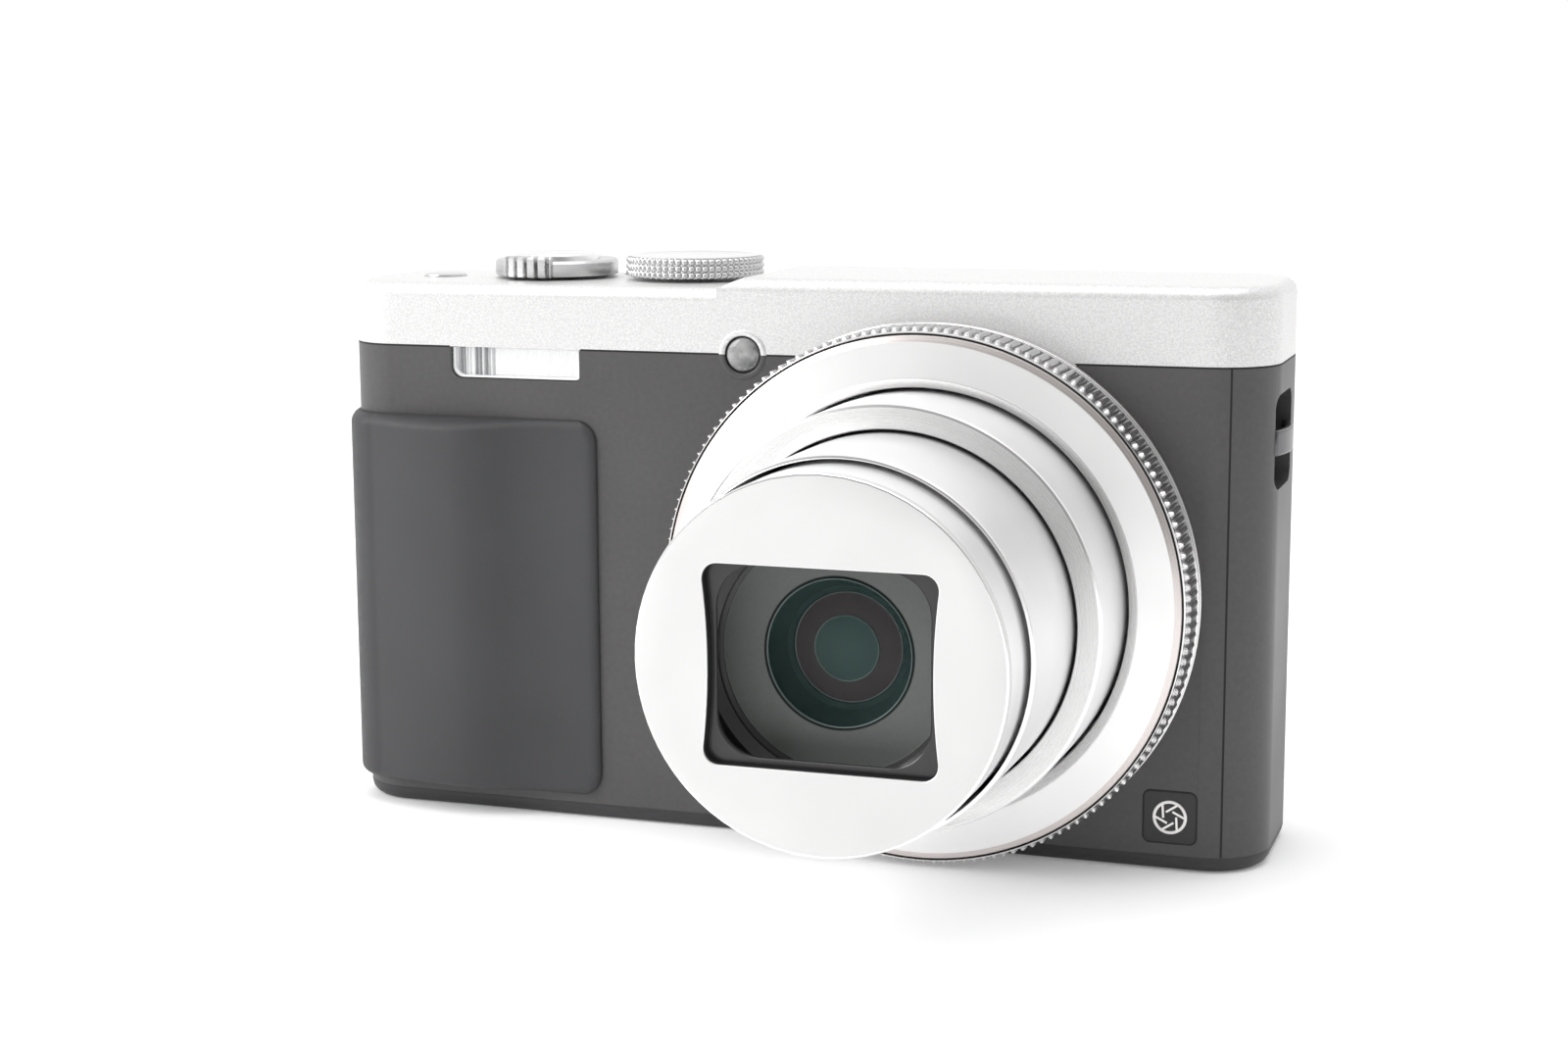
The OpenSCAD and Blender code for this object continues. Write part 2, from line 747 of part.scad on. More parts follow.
// one barrier blade, above the window for side 1 and below it for side -1
module blade(side, y0) {
    translate([lens_x, y0 + blade_t, lens_z]) rotate([90, 0, 0]) linear_extrude(blade_t)
        intersection() {
            circle(blade_r);
            translate([-blade_w/2, side > 0 ? open_h : -20]) square([blade_w, 20 - open_h]);
        }
}
module blade_upper_front() { color([0.2, 0.2, 0.2]) blade(1, b3_y + 2); }
module blade_upper_rear() { color([0.2, 0.2, 0.2]) blade(1, b3_y + 2.6); }
module blade_lower_front() { color([0.2, 0.2, 0.2]) blade(-1, b3_y + 2); }
module blade_lower_rear() { color([0.2, 0.2, 0.2]) blade(-1, b3_y + 2.6); }

module focus_lens() {
    color([0.15, 0.15, 0.15]) difference() {
        union() {
            rod_y(lens_x, lens_z, 6.3, focus_y0, focus_y1);
            block([lens_x - guide_x, focus_y0, lens_z - 1.6],
                [lens_x + guide_x, focus_y1, lens_z + 1.6]);
            for (s = [-1, 1]) rod_y(lens_x + s*guide_x, lens_z, 1.6, focus_y0, focus_y1);
        }
        for (s = [-1, 1]) rod_y(lens_x + s*guide_x, lens_z, guide_r + 0.05, 0, 6);
    }
}

// ---------- controls ----------

module zoom_lever() {
    color([0.6, 0.6, 0.61]) translate([shutter_x, shutter_y, 0]) difference() {
        union() {
            translate([0, 0, lever_z]) cylinder(h = 1.9, r = lever_r);
            translate([0, 0, 60.6]) cylinder(h = 3, r = 6.05);
            intersection() {
                translate([0, 0, lever_z]) cylinder(h = 2.5, r = lever_r + 0.9);
                block([-3, -9, 63], [3, -5.6, 67]);
            }
        }
        translate([0, 0, 60]) cylinder(h = 10, r = 5.15);
        for (i = [-1.5:1.5]) translate([i*1.45 - 0.35, -9, 63]) cube([0.7, 1.4, 4]);
    }
}

module shutter_button() {
    color([0.8, 0.8, 0.81]) translate([shutter_x, shutter_y, 0]) union() {
        translate([0, 0, 64]) cylinder(h = 2.1, r = 5);
        translate([0, 0, 60.8]) cylinder(h = 3.4, r = 2.2);
    }
}

module mode_dial() {
    notches = 64;
    color([0.75, 0.75, 0.76]) translate([dial_x, dial_y, 0]) difference() {
        union() {
            translate([0, 0, 63.5]) cylinder(h = 2.2, r = dial_r);
            translate([0, 0, 65.7]) cylinder(h = 0.3, r = dial_r - 0.4);
            translate([0, 0, 60.6]) cylinder(h = 3, r = 3);
        }
        for (i = [0:notches - 1]) rotate(i*360/notches)
            translate([dial_r + 0.05, 0, 63]) cylinder(h = 4, r = 0.22, $fn = 6);
    }
}

module deck_button(x, y, r) {
    translate([x, y, 60.6]) union() {
        cylinder(h = 2.8, r = r);
        cylinder(h = 0.5, r = r + 0.5);
    }
}
module movie_button() { color([0.8, 0.8, 0.8]) deck_button(movie_x, movie_y, key_r); }
module power_button() { color([0.8, 0.8, 0.8]) deck_button(power_x, power_y, power_r); }

module cursor_dial() {
    notches = 48;
    color([0.2, 0.2, 0.21]) difference() {
        tube_y(cursor_x, cursor_z, set_r + 0.15, cursor_r, in_back - 0.6, back_y + 0.9);
        for (i = [0:notches - 1]) translate([cursor_x, in_back + 3, cursor_z]) rotate([0, i*360/notches, 0])
            translate([cursor_r + 0.05, 0, 0]) rotate([90, 0, 0]) cylinder(h = 6, r = 0.25, $fn = 6);
    }
}

module rear_key(x, z, r, out) {
    union() {
        rod_y(x, z, r, in_back - 1, back_y + out);
        rod_y(x, z, r + 0.5, in_back - 1.2, in_back - 0.7);
    }
}
module set_button() {
    color([0.2, 0.2, 0.21]) rod_y(cursor_x, cursor_z, set_r, in_back - 0.9, back_y + 0.7);
}
module playback_button() { color([0.2, 0.2, 0.21]) rear_key(play_x, play_z, key_r, 0.5); }
module display_button() { color([0.2, 0.2, 0.21]) rear_key(show_x, show_z, key_r, 0.5); }
module delete_button() { color([0.2, 0.2, 0.21]) rear_key(bin_x, bin_z, key_r, 0.5); }

module diopter_dial() {
    color([0.15, 0.15, 0.15]) union() {
        rod_y(diopter_x, diopter_z, 2.6, back_y + 0.15, back_y + 1);
        rod_y(diopter_x, diopter_z, 1.2, in_back - 2, back_y + 0.2);
    }
}

// ---------- doors ----------

module battery_door() {
    color([0.13, 0.13, 0.14]) difference() {
        union() {
            block([door_x0, door_y0, 0], [door_hinge_x, door_y1, base_t]);
            rod_y(door_hinge_x, base_t/2, base_t/2, door_y0, door_y1);
            rod_y(door_hinge_x, base_t/2, door_pin_r, door_y0 - 1.2, door_y1 + 1.2);
        }
        block([latch_x - 3, -4, -1], [latch_x + 5, 1, 1]);
    }
}

module door_latch() {
    color([0.2, 0.2, 0.2]) difference() {
        block([latch_x - 2.9, -3.9, 0.15], [latch_x + 2.9, 0.9, 0.9]);
        for (i = [-2:2]) block([latch_x + i - 0.2, -3, 0], [latch_x + i + 0.2, 0, 0.4]);
    }
}

module connector_door() {
    x = left_x + port_t/2;
    color([0.14, 0.14, 0.15]) union() {
        block([left_x, port_y0, port_z0], [left_x + port_t, port_hinge_y, port_z1]);
        translate([x, port_hinge_y, port_z0]) cylinder(h = port_z1 - port_z0, r = port_t/2);
        translate([x, port_hinge_y, port_z0 - 1.2]) cylinder(h = port_z1 - port_z0 + 2.4, r = 0.35);
    }
}

front_cover();
top_cover();
rear_cover();
side_cover();
bottom_cover();
grip();
badge();
flash_window();
flash_reflector();
flash_tube();
flash_capacitor();
af_lamp();
lcd_window();
lcd_module();
evf_eyepiece();
chassis();
main_board();
top_board();
sensor_board();
image_sensor();
battery();
memory_card();
card_slot();
lens_base();
trim_ring();
zoom_motor();
tripod_insert();
strap_lug();
case_screws();
sockets();
control_ring();
drive_ring();
motor_pinion();
barrel_1();
shutter_unit();
barrel_2();
zoom_lens();
barrel_3();
front_ring();
lens_cell();
front_glass();
blade_upper_front();
blade_upper_rear();
blade_lower_front();
blade_lower_rear();
focus_lens();
zoom_lever();
shutter_button();
mode_dial();
power_button();
movie_button();
cursor_dial();
set_button();
playback_button();
display_button();
delete_button();
diopter_dial();
battery_door();
door_latch();
connector_door();
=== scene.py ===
import json
import math

import bmesh
import bpy
from mathutils import Matrix, Vector


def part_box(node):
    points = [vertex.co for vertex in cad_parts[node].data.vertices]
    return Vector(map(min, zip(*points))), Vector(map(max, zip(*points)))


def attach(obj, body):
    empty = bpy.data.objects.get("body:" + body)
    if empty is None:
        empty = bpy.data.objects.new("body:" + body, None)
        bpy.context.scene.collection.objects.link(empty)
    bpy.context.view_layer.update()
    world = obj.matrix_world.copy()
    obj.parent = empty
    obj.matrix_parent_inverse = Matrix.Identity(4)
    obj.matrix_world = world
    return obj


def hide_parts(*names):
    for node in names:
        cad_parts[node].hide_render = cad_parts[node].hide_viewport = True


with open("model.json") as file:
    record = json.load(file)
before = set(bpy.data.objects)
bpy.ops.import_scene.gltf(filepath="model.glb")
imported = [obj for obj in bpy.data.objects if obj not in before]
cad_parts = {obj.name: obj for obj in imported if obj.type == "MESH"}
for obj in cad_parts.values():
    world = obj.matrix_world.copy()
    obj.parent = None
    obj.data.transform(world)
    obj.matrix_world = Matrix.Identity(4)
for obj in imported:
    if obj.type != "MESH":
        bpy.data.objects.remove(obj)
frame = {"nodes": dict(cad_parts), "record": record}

MM = 0.001
TAU = 2 * math.pi
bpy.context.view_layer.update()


# ---- places read from the CAD frame, in millimetres

def box_mm(node):
    low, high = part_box(node)
    return low / MM, high / MM


def middle_mm(node):
    low, high = box_mm(node)
    return (low + high) / 2


def disc_mm(node):
    """A round node's radius, and the low and high corners of its box."""
    low, high = box_mm(node)
    return (high.x - low.x) / 2, low, high


body_low, body_high = box_mm("front_cover")
FRONT = body_low.y
BACK = box_mm("rear_cover")[1].y
LEFT = body_low.x
RIGHT = box_mm("side_cover")[1].x
SEAM_Z = body_high.z
SIDE_SEAM = body_high.x
CORNER_R = 7.0
LENS = middle_mm("front_ring")
AXIS_X, AXIS_Z = LENS.x, LENS.z


# ---- materials

class Graph:
    """A material's node tree with short calls for the nodes this scene uses."""

    def __init__(self, name):
        self.mat = bpy.data.materials.new(name)
        self.mat.use_nodes = True
        self.tree = self.mat.node_tree
        self.tree.nodes.clear()
        self.shader = self.node("ShaderNodeBsdfPrincipled")
        self.node("ShaderNodeOutputMaterial", {"Surface": self.shader.outputs["BSDF"]})
        self.place = self.node("ShaderNodeTexCoord").outputs["Object"]

    def node(self, kind, inputs=None, **props):
        """New node. inputs holds values or other nodes' outputs, by socket name or number."""
        made = self.tree.nodes.new(kind)
        for key, value in props.items():
            setattr(made, key, value)
        for key, value in (inputs or {}).items():
            if isinstance(value, bpy.types.NodeSocket):
                self.tree.links.new(value, made.inputs[key])
            else:
                made.inputs[key].default_value = value
        return made

    def noise(self, scale, detail=3.0, rough=0.55):
        values = {"Scale": scale, "Detail": detail, "Roughness": rough, "Vector": self.place}
        return self.node("ShaderNodeTexNoise", values).outputs["Fac"]

    def cells(self, scale, feature="F1"):
        values = {"Scale": scale, "Vector": self.place}
        return self.node("ShaderNodeTexVoronoi", values, feature=feature).outputs["Distance"]

    def remap(self, value, low, high):
        values = {"From Min": 0.3, "From Max": 0.7, "To Min": low, "To Max": high, "Value": value}
        return self.node("ShaderNodeMapRange", values).outputs["Result"]

    def math(self, kind, a, b):
        return self.node("ShaderNodeMath", {0: a, 1: b}, operation=kind).outputs["Value"]

    def ramp(self, value, stops):
        made = self.node("ShaderNodeValToRGB", {"Fac": value})
        points = made.color_ramp.elements
        while len(points) < len(stops):
            points.new(0.5)
        for point, (at, colour) in zip(points, stops):
            point.position = at
            point.color = (*colour, 1)
        return made.outputs["Color"]

    def bump(self, height, strength, distance, normal=None):
        values = {"Strength": strength, "Distance": distance, "Height": height}
        if normal:
            values["Normal"] = normal
        return self.node("ShaderNodeBump", values).outputs["Normal"]

    def radius(self, centre, across=(1, 0, 1)):
        """Distance from an axis along the direction that across leaves out."""
        vector = self.place
        for kind, other in (("SUBTRACT", centre), ("MULTIPLY", across)):
            vector = self.node("ShaderNodeVectorMath", {0: vector, 1: other}, operation=kind).outputs["Vector"]
        return self.node("ShaderNodeVectorMath", {0: vector}, operation="LENGTH").outputs["Value"]

    def set(self, **values):
        for key, value in values.items():
            self.shader.inputs[key.replace("_", " ")].default_value = value

    def to(self, socket, value):
        self.tree.links.new(value, self.shader.inputs[socket])


def shade(colour, k):
    return tuple(min(1.0, c * k) for c in colour)


FINE = 0.00001


def speckled(name, colour, rough, vary, scale, bump, metallic=0.0, depth=FINE, **shader):
    """Moulded, painted or blasted surface: fine grain, slow colour drift and uneven gloss."""
    g = Graph(name)
    drift = g.noise(45.0, 2.0)
    grain = g.noise(scale, 4.0, 0.6)
    mixed = g.math("ADD", g.math("MULTIPLY", drift, 0.5), g.math("MULTIPLY", grain, 0.5))
    g.to("Base Color", g.ramp(mixed, [(0.35, shade(colour, 1 - vary)), (0.65, shade(colour, 1 + vary))]))
    g.to("Roughness", g.remap(drift, rough - 0.05, rough + 0.05))
    g.to("Normal", g.bump(grain, bump, depth))
    g.set(Metallic=metallic, **shader)
    return g.mat


def turned(name, colour, rough, centre, across, pitch=0.00012, bump=0.12, vary=0.05, metallic=1.0,
           grain_bump=0.1, **shader):
    """Lathe-turned metal: fine concentric marks about an axis over a satin blast."""
    g = Graph(name)
    values = {"Scale": 1.0 / pitch, "Detail": 2.0, "W": g.radius(centre, across)}
    rings = g.node("ShaderNodeTexNoise", values, noise_dimensions="1D").outputs["Fac"]
    grain = g.noise(2600.0, 2.0)
    drift = g.noise(60.0, 2.0)
    g.to("Base Color", g.ramp(drift, [(0.3, shade(colour, 1 - vary)), (0.7, shade(colour, 1 + vary * 0.6))]))
    g.to("Roughness", g.remap(rings, rough - 0.05, rough + 0.06))
    first = g.bump(rings, bump, FINE)
    g.to("Normal", g.bump(grain, grain_bump, FINE, first))
    g.set(Metallic=metallic, **shader)
    return g.mat


def leather(name, colour):
    """Rubber with a fine leather-like grain."""
    g = Graph(name)
    pebbles = g.cells(1500.0, "SMOOTH_F1")
    folds = g.noise(650.0, 4.0, 0.6)
    dust = g.noise(3800.0, 1.0)
    drift = g.noise(35.0, 2.0)
    height = g.math("ADD", g.math("MULTIPLY", pebbles, 0.7), folds)
    tone = g.math("ADD", g.math("MULTIPLY", drift, 0.6), g.math("MULTIPLY", folds, 0.4))
    base = g.ramp(tone, [(0.35, shade(colour, 0.82)), (0.65, shade(colour, 1.2))])
    flecks = g.ramp(dust, [(0.74, (0, 0, 0)), (0.82, (0.05, 0.05, 0.055))])
    add = g.node("ShaderNodeMix", {"Factor": 0.5, "A": base, "B": flecks}, data_type="RGBA", blend_type="ADD")
    g.to("Base Color", add.outputs["Result"])
    g.to("Roughness", g.remap(folds, 0.5, 0.68))
    g.to("Normal", g.bump(height, 0.42, 0.00006))
    g.set(IOR=1.5)
    return g.mat


def silver_paint(name, colour):
    """Silver paint with a fine metallic flake."""
    g = Graph(name)
    flake = g.cells(5200.0)
    grain = g.noise(3000.0, 3.0)
    drift = g.noise(40.0, 2.0)
    tone = g.math("ADD", g.math("MULTIPLY", flake, 0.5), g.math("MULTIPLY", grain, 0.5))
    g.to("Base Color", g.ramp(tone, [(0.22, shade(colour, 1.1)), (0.62, shade(colour, 0.84))]))
    g.to("Roughness", g.remap(drift, 0.36, 0.44))
    g.to("Normal", g.bump(flake, 0.16, FINE))
    g.set(Metallic=0.5, Coat_Weight=0.2, Coat_Roughness=0.25)
    return g.mat


def screen_glass(name):
    """Polished cover glass with the slightly bluer active area under it."""
    g = Graph(name)
    low, high = box_mm("lcd_window")
    split = g.node("ShaderNodeSeparateXYZ", {0: g.place})
    inside = None
    for axis, a, b in (("X", low.x + 3.2, high.x - 3.2), ("Z", low.z + 2.6, high.z - 2.8)):
        for kind, edge in (("GREATER_THAN", a * MM), ("LESS_THAN", b * MM)):
            step = g.math(kind, split.outputs[axis], edge)
            inside = step if inside is None else g.math("MULTIPLY", inside, step)
    smear = g.noise(28.0, 3.0)
    blend = g.math("MULTIPLY", inside, g.remap(smear, 0.8, 1.0))
    g.to("Base Color", g.ramp(blend, [(0.0, (0.006, 0.006, 0.007)), (1.0, (0.014, 0.017, 0.021))]))
    g.to("Roughness", g.remap(smear, 0.04, 0.1))
    g.set(Coat_Weight=1.0, Coat_Roughness=0.03)
    return g.mat


lens_centre = (AXIS_X * MM, 0.0, AXIS_Z * MM)
lens_across = (1, 0, 1)
dial_centre = tuple(middle_mm("mode_dial") * MM)
lever_centre = tuple(middle_mm("shutter_button") * MM)

# colour, roughness, colour variation, grain scale, bump and, where it isn't 0, metallic
SPECKLED = {
    "black_casing": ((0.067, 0.064, 0.064), 0.44, 0.12, 1500, 0.22),
    "base_black": ((0.03, 0.03, 0.032), 0.5, 0.12, 1200, 0.25),
    "badge_black": ((0.022, 0.022, 0.023), 0.4, 0.1, 1500, 0.05),
    "reflector": ((1.0, 1.0, 1.0), 0.4, 0.02, 1500, 0.05, 0.1),
    "capacitor_sleeve": ((0.02, 0.02, 0.05), 0.3, 0.1, 900, 0.05),
    "module_grey": ((0.35, 0.36, 0.38), 0.4, 0.08, 900, 0.1, 0.5),
    "eyepiece_black": ((0.02, 0.02, 0.021), 0.6, 0.12, 1200, 0.25),
    "frame_metal": ((0.6, 0.6, 0.6), 0.38, 0.08, 1400, 0.12, 1.0),
    "circuit_board": ((0.01, 0.12, 0.05), 0.4, 0.3, 500, 0.1),
    "sensor_dark": ((0.03, 0.03, 0.05), 0.12, 0.1, 500, 0.02),
    "battery_grey": ((0.05, 0.05, 0.06), 0.5, 0.1, 1000, 0.1),
    "card_blue": ((0.02, 0.03, 0.12), 0.45, 0.1, 1000, 0.1),
    "lug_dark": ((0.12, 0.12, 0.125), 0.32, 0.1, 1500, 0.1, 0.9),
    "screw_black": ((0.05, 0.05, 0.05), 0.35, 0.15, 1500, 0.1, 0.8),
    "inner_black": ((0.012, 0.012, 0.013), 0.55, 0.15, 1200, 0.12),
    "mask_black": ((0.026, 0.024, 0.026), 0.22, 0.15, 1200, 0.1),
    # seam_black: near-black painted shade laid in seams, gaps and recesses
    "seam_black": ((0.006, 0.006, 0.006), 0.7, 0.15, 1200, 0.1),
    "brass_gear": ((0.7, 0.55, 0.25), 0.3, 0.08, 1200, 0.08, 1.0),
    "blade_black": ((0.025, 0.025, 0.026), 0.38, 0.12, 1200, 0.08, 0.3),
    "key_black": ((0.035, 0.035, 0.037), 0.3, 0.1, 1400, 0.08),
    "mark_grey": ((0.55, 0.55, 0.55), 0.5, 0.05, 1400, 0.05),
    "mark_silver": ((0.9, 0.88, 0.86), 0.35, 0.04, 1400, 0.05, 0.6),
    "cell_grey": ((0.132, 0.144, 0.135), 0.5, 0.08, 2200, 0.2),
    "lens_wall": ((0.03, 0.055, 0.052), 0.7, 0.1, 1500, 0.0),
    "lens_edge": ((0.17, 0.22, 0.21), 0.5, 0.1, 1500, 0.0, 0.2),
    "flash_stripe": ((0.1, 0.1, 0.102), 0.4, 0.35, 900, 0.1, 0.2),
    "flash_mid": ((0.4, 0.4, 0.405), 0.35, 0.25, 900, 0.1, 0.3),
}
MORE = {name: {"depth": 0.00002} for name in ("black_casing", "base_black", "eyepiece_black")}
MORE["black_casing"]["IOR"] = 1.5
MORE["key_black"] = {"Coat_Weight": 0.2}
MORE["lens_wall"] = {"Specular_IOR_Level": 0.05}
M = {name: speckled(name, *row, **MORE.get(name, {})) for name, row in SPECKLED.items()}
M["top_silver"] = silver_paint("top_silver", (0.765, 0.761, 0.758))
M["grip_rubber"] = leather("grip_rubber", (0.042, 0.0425, 0.045))
M["screen_glass"] = screen_glass("screen_glass")


def turned_set(centre, across, rows):
    """Turned metals about one axis: name, colour, roughness, mark pitch and bump, and any more settings."""
    for name, colour, rough, pitch, bump, more in rows:
        M[name] = turned(name, colour, rough, centre, across, pitch, bump, **more)


turned_set(lens_centre, lens_across, (
    ("ring_silver", (0.80, 0.79, 0.79), 0.24, 0.00012, 0.12, {}),
    # groove_grey: painted shade for the knurl's groove floors and rear recess
    ("groove_grey", (0.36, 0.355, 0.36), 0.4, 0.00012, 0.12, {}),
    ("rim_silver", (0.86, 0.855, 0.855), 0.2, 0.00012, 0.12, {}),
    ("trim_silver", (0.89, 0.886, 0.882), 0.36, 0.0001, 0.12, {"metallic": 0.7}),
    ("bevel_silver", (0.74, 0.735, 0.73), 0.26, 0.0001, 0.25, {}),
    ("bevel_dark", (0.7, 0.65, 0.635), 0.3, 0.0001, 0.2, {}),
    ("front_white", (0.7, 0.698, 0.694), 0.45, 0.00015, 0.05, {"metallic": 0.4, "grain_bump": 0.25}),
))
turned_set(lens_centre, (0, 1, 0), (
    ("barrel_silver", (0.93, 0.93, 0.935), 0.36, 0.0002, 0.05, {"metallic": 0.7}),
))
turned_set(dial_centre, (1, 1, 0), (
    ("dial_grey", (0.66, 0.66, 0.66), 0.3, 0.0001, 0.15, {}),
    ("dial_top", (0.84, 0.84, 0.84), 0.28, 0.0001, 0.2, {}),
))
turned_set(lever_centre, (0, 0, 1), (
    ("lever_grey", (0.6, 0.6, 0.6), 0.3, 0.0001, 0.12, {}),
))
turned_set(lever_centre, (1, 1, 0), (
    ("shutter_silver", (0.84, 0.84, 0.84), 0.28, 0.0001, 0.15, {}),
))


def painted_lens_reflection(name, inner, outer, rough=0.06, ior=1.3):
    """Dark coated element whose tint, lighter at the centre and darker towards its edge, is painted reflection of the
    coating.
    """
    g = Graph(name)
    r = g.radius(lens_centre)
    tint = g.noise(90.0, 2.0)
    moved = g.math("ADD", r, g.math("MULTIPLY", g.math("SUBTRACT", tint, 0.5), 0.0008))
    g.to("Base Color", g.ramp(g.math("MULTIPLY", moved, 1 / 0.008), [(0.0, inner), (1.0, outer)]))
    g.to("Roughness", g.remap(tint, rough * 0.8, rough * 1.3))
    g.set(IOR=ior, Specular_IOR_Level=0.25)
    return g.mat


def clear(name, colour, alpha, ior=1.45, rough=0.04):
    """Clear cover that shows what lies behind it."""
    g = Graph(name)
    haze = g.noise(400.0, 2.0)
    g.to("Base Color", g.ramp(haze, [(0.3, shade(colour, 0.96)), (0.7, colour)]))
    g.to("Roughness", g.remap(haze, rough, rough * 1.6))
    g.set(Alpha=alpha, IOR=ior)
    return g.mat


# lens_deep and lens_band: coating reflections and a lighter centre painted into the colour
M["lens_deep"] = painted_lens_reflection("lens_deep", (0.055, 0.098, 0.09), (0.03, 0.06, 0.056), 0.4)
M["lens_band"] = painted_lens_reflection("lens_band", (0.075, 0.07, 0.072), (0.066, 0.048, 0.054), 0.4)
M["lens_glass"] = clear("lens_glass", (0.05, 0.08, 0.075), 0.05, 1.36, 0.03)
M["flash_clear"] = clear("flash_clear", (0.9, 0.92, 0.94), 0.16, 1.45, 0.05)
g = Graph("lamp_lens")
mottle = g.noise(420.0, 3.0, 0.6)
g.to("Base Color", g.ramp(mottle, [(0.35, (0.11, 0.112, 0.114)), (0.66, (0.36, 0.36, 0.355))]))
g.to("Roughness", g.remap(mottle, 0.14, 0.24))
g.to("Normal", g.bump(mottle, 0.2, 0.00005))
g.set(Coat_Weight=0.7, Coat_Roughness=0.08)
M["lamp_lens"] = g.mat


# ---- mesh helpers

WELD_DISTANCE = 0.000002


def add_mesh(name, verts, faces, mats, faces_mat=None, sharp=32.0, clean=False):
    """New object from points in millimetres, smooth but for edges over the sharp angle.

    clean drops the empty faces of loops that touch their axis.
    """
    mesh = bpy.data.meshes.new(name)
    mesh.from_pydata([Vector(v) * MM for v in verts], [], faces)
    for m in mats if isinstance(mats, (list, tuple)) else [mats]:
        mesh.materials.append(M[m])
    if faces_mat:
        mesh.polygons.foreach_set("material_index", faces_mat)
    bm = bmesh.new()
    bm.from_mesh(mesh)
    bmesh.ops.remove_doubles(bm, verts=bm.verts, dist=WELD_DISTANCE)
    bmesh.ops.recalc_face_normals(bm, faces=bm.faces)
    bm.to_mesh(mesh)
    bm.free()
    mesh.polygons.foreach_set("use_smooth", [True] * len(mesh.polygons))
    mesh.set_sharp_from_angle(angle=math.radians(sharp))
    if clean:
        bm = bmesh.new()
        bm.from_mesh(mesh)
        bmesh.ops.dissolve_degenerate(bm, dist=0.0000005, edges=bm.edges)
        bm.to_mesh(mesh)
        bm.free()
    made = bpy.data.objects.new(name, mesh)
    bpy.context.scene.collection.objects.link(made)
    return made


def loft(rows, closed=True, wrap=False):
    """Points and faces of a skin over rows of equal length. wrap joins the last row to the first."""
    n, count = len(rows[0]), len(rows)
    faces = []
    for k in range(count if wrap else count - 1):
        m = (k + 1) % count
        faces += [(k * n + i, k * n + (i + 1) % n, m * n + (i + 1) % n, m * n + i)
                  for i in range(n if closed else n - 1)]
    return [p for row in rows for p in row], faces


def spread(bands, count):
    """Material numbers of a loft's faces, one band to each row of count faces."""
    return [band for band in bands for _ in range(count)]


CORNERS = ((1, -1, -90), (1, 1, 0), (-1, 1, 90), (-1, -1, 180))


def corner_arc(corner, w, h, r, steps=8):
    """One rounded corner of a rectangle with half sizes w and h."""
    sx, sy, start = corner
    turns = [math.radians(start + 90 * i / steps) for i in range(steps + 1)]
    return [(sx * (w - r) + r * math.cos(a), sy * (h - r) + r * math.sin(a)) for a in turns]


def own(piece, body, slot, *nodes):
    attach(piece, body)
    if nodes:
        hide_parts(*nodes)
    return piece


def lathe(name, profile, mats, segments=256, centre=None, axis="Y", bands=None, shape=None, sharp=32.0):
    """Turned piece: profile is a closed loop of (radius, height) along the axis.

    shape(angle, i, r, h) may move a point.
    """
    cx, cy, cz = centre or (AXIS_X, 0.0, AXIS_Z)
    rows = []
    n = len(profile)
    for s in range(segments):
        a = TAU * s / segments
        points = [shape(a, i, r, h) if shape else (r, h) for i, (r, h) in enumerate(profile)]
        if axis == "Y":
            rows.append([(cx + r * math.cos(a), cy + h, cz + r * math.sin(a)) for r, h in points])
        else:
            rows.append([(cx + r * math.cos(a), cy + r * math.sin(a), cz + h) for r, h in points])
    verts, faces = loft(rows, wrap=True)
    kept = [i for i in range(n) if profile[i][0] >= 1e-6 or profile[(i + 1) % n][0] >= 1e-6]
    faces = [faces[s * n + i] for s in range(segments) for i in kept]
    index = [bands[i] if bands else 0 for i in kept] * segments
    return add_mesh(name, verts, faces, mats, index, sharp, clean=True)


def outline_loop(inset, corner=CORNER_R, steps=24):
    """The body's plan outline, counter-clockwise from the front left, moved inwards by inset."""
    pts = []
    for cx, cy, start in ((RIGHT - corner, FRONT + corner, -90), (RIGHT - corner, BACK - corner, 0),
                          (LEFT + corner, BACK - corner, 90), (LEFT + corner, FRONT + corner, 180)):
        for i in range(steps + 1):
            a = math.radians(start + 90 * i / steps)
            pts.append((cx + (corner - inset) * math.cos(a), cy + (corner - inset) * math.sin(a)))
    return pts


# ---- carried-over CAD nodes

def smooth_group(name, angle):
    """Geometry nodes: drop the imported normals, weld, and shade smooth but for sharp edges."""
    group = bpy.data.node_groups.new(name, "GeometryNodeTree")
    for way in ("INPUT", "OUTPUT"):
        group.interface.new_socket("Geometry", in_out=way, socket_type="NodeSocketGeometry")
    new, link = group.nodes.new, group.links.new
    kinds = ("NodeGroupInput", "GeometryNodeRemoveAttribute", "GeometryNodeMergeByDistance",
             "GeometryNodeSetShadeSmooth", "GeometryNodeSetShadeSmooth", "NodeGroupOutput")
    chain = [new(kind) for kind in kinds]
    for a, b in zip(chain, chain[1:]):
        link(a.outputs[0], b.inputs[0])
    drop, weld, edges = chain[1], chain[2], chain[4]
    drop.inputs["Name"].default_value = "custom_normal"
    weld.inputs["Distance"].default_value = WELD_DISTANCE
    edges.domain = "EDGE"
    edges.inputs["Shade Smooth"].default_value = False
    more = new("FunctionNodeCompare")
    more.operation = "GREATER_THAN"
    more.inputs["B"].default_value = math.radians(angle)
    link(new("GeometryNodeInputMeshEdgeAngle").outputs["Unsigned Angle"], more.inputs["A"])
    link(more.outputs["Result"], edges.inputs["Selection"])
    return group


WELD = smooth_group("weld_and_smooth", 28.0)


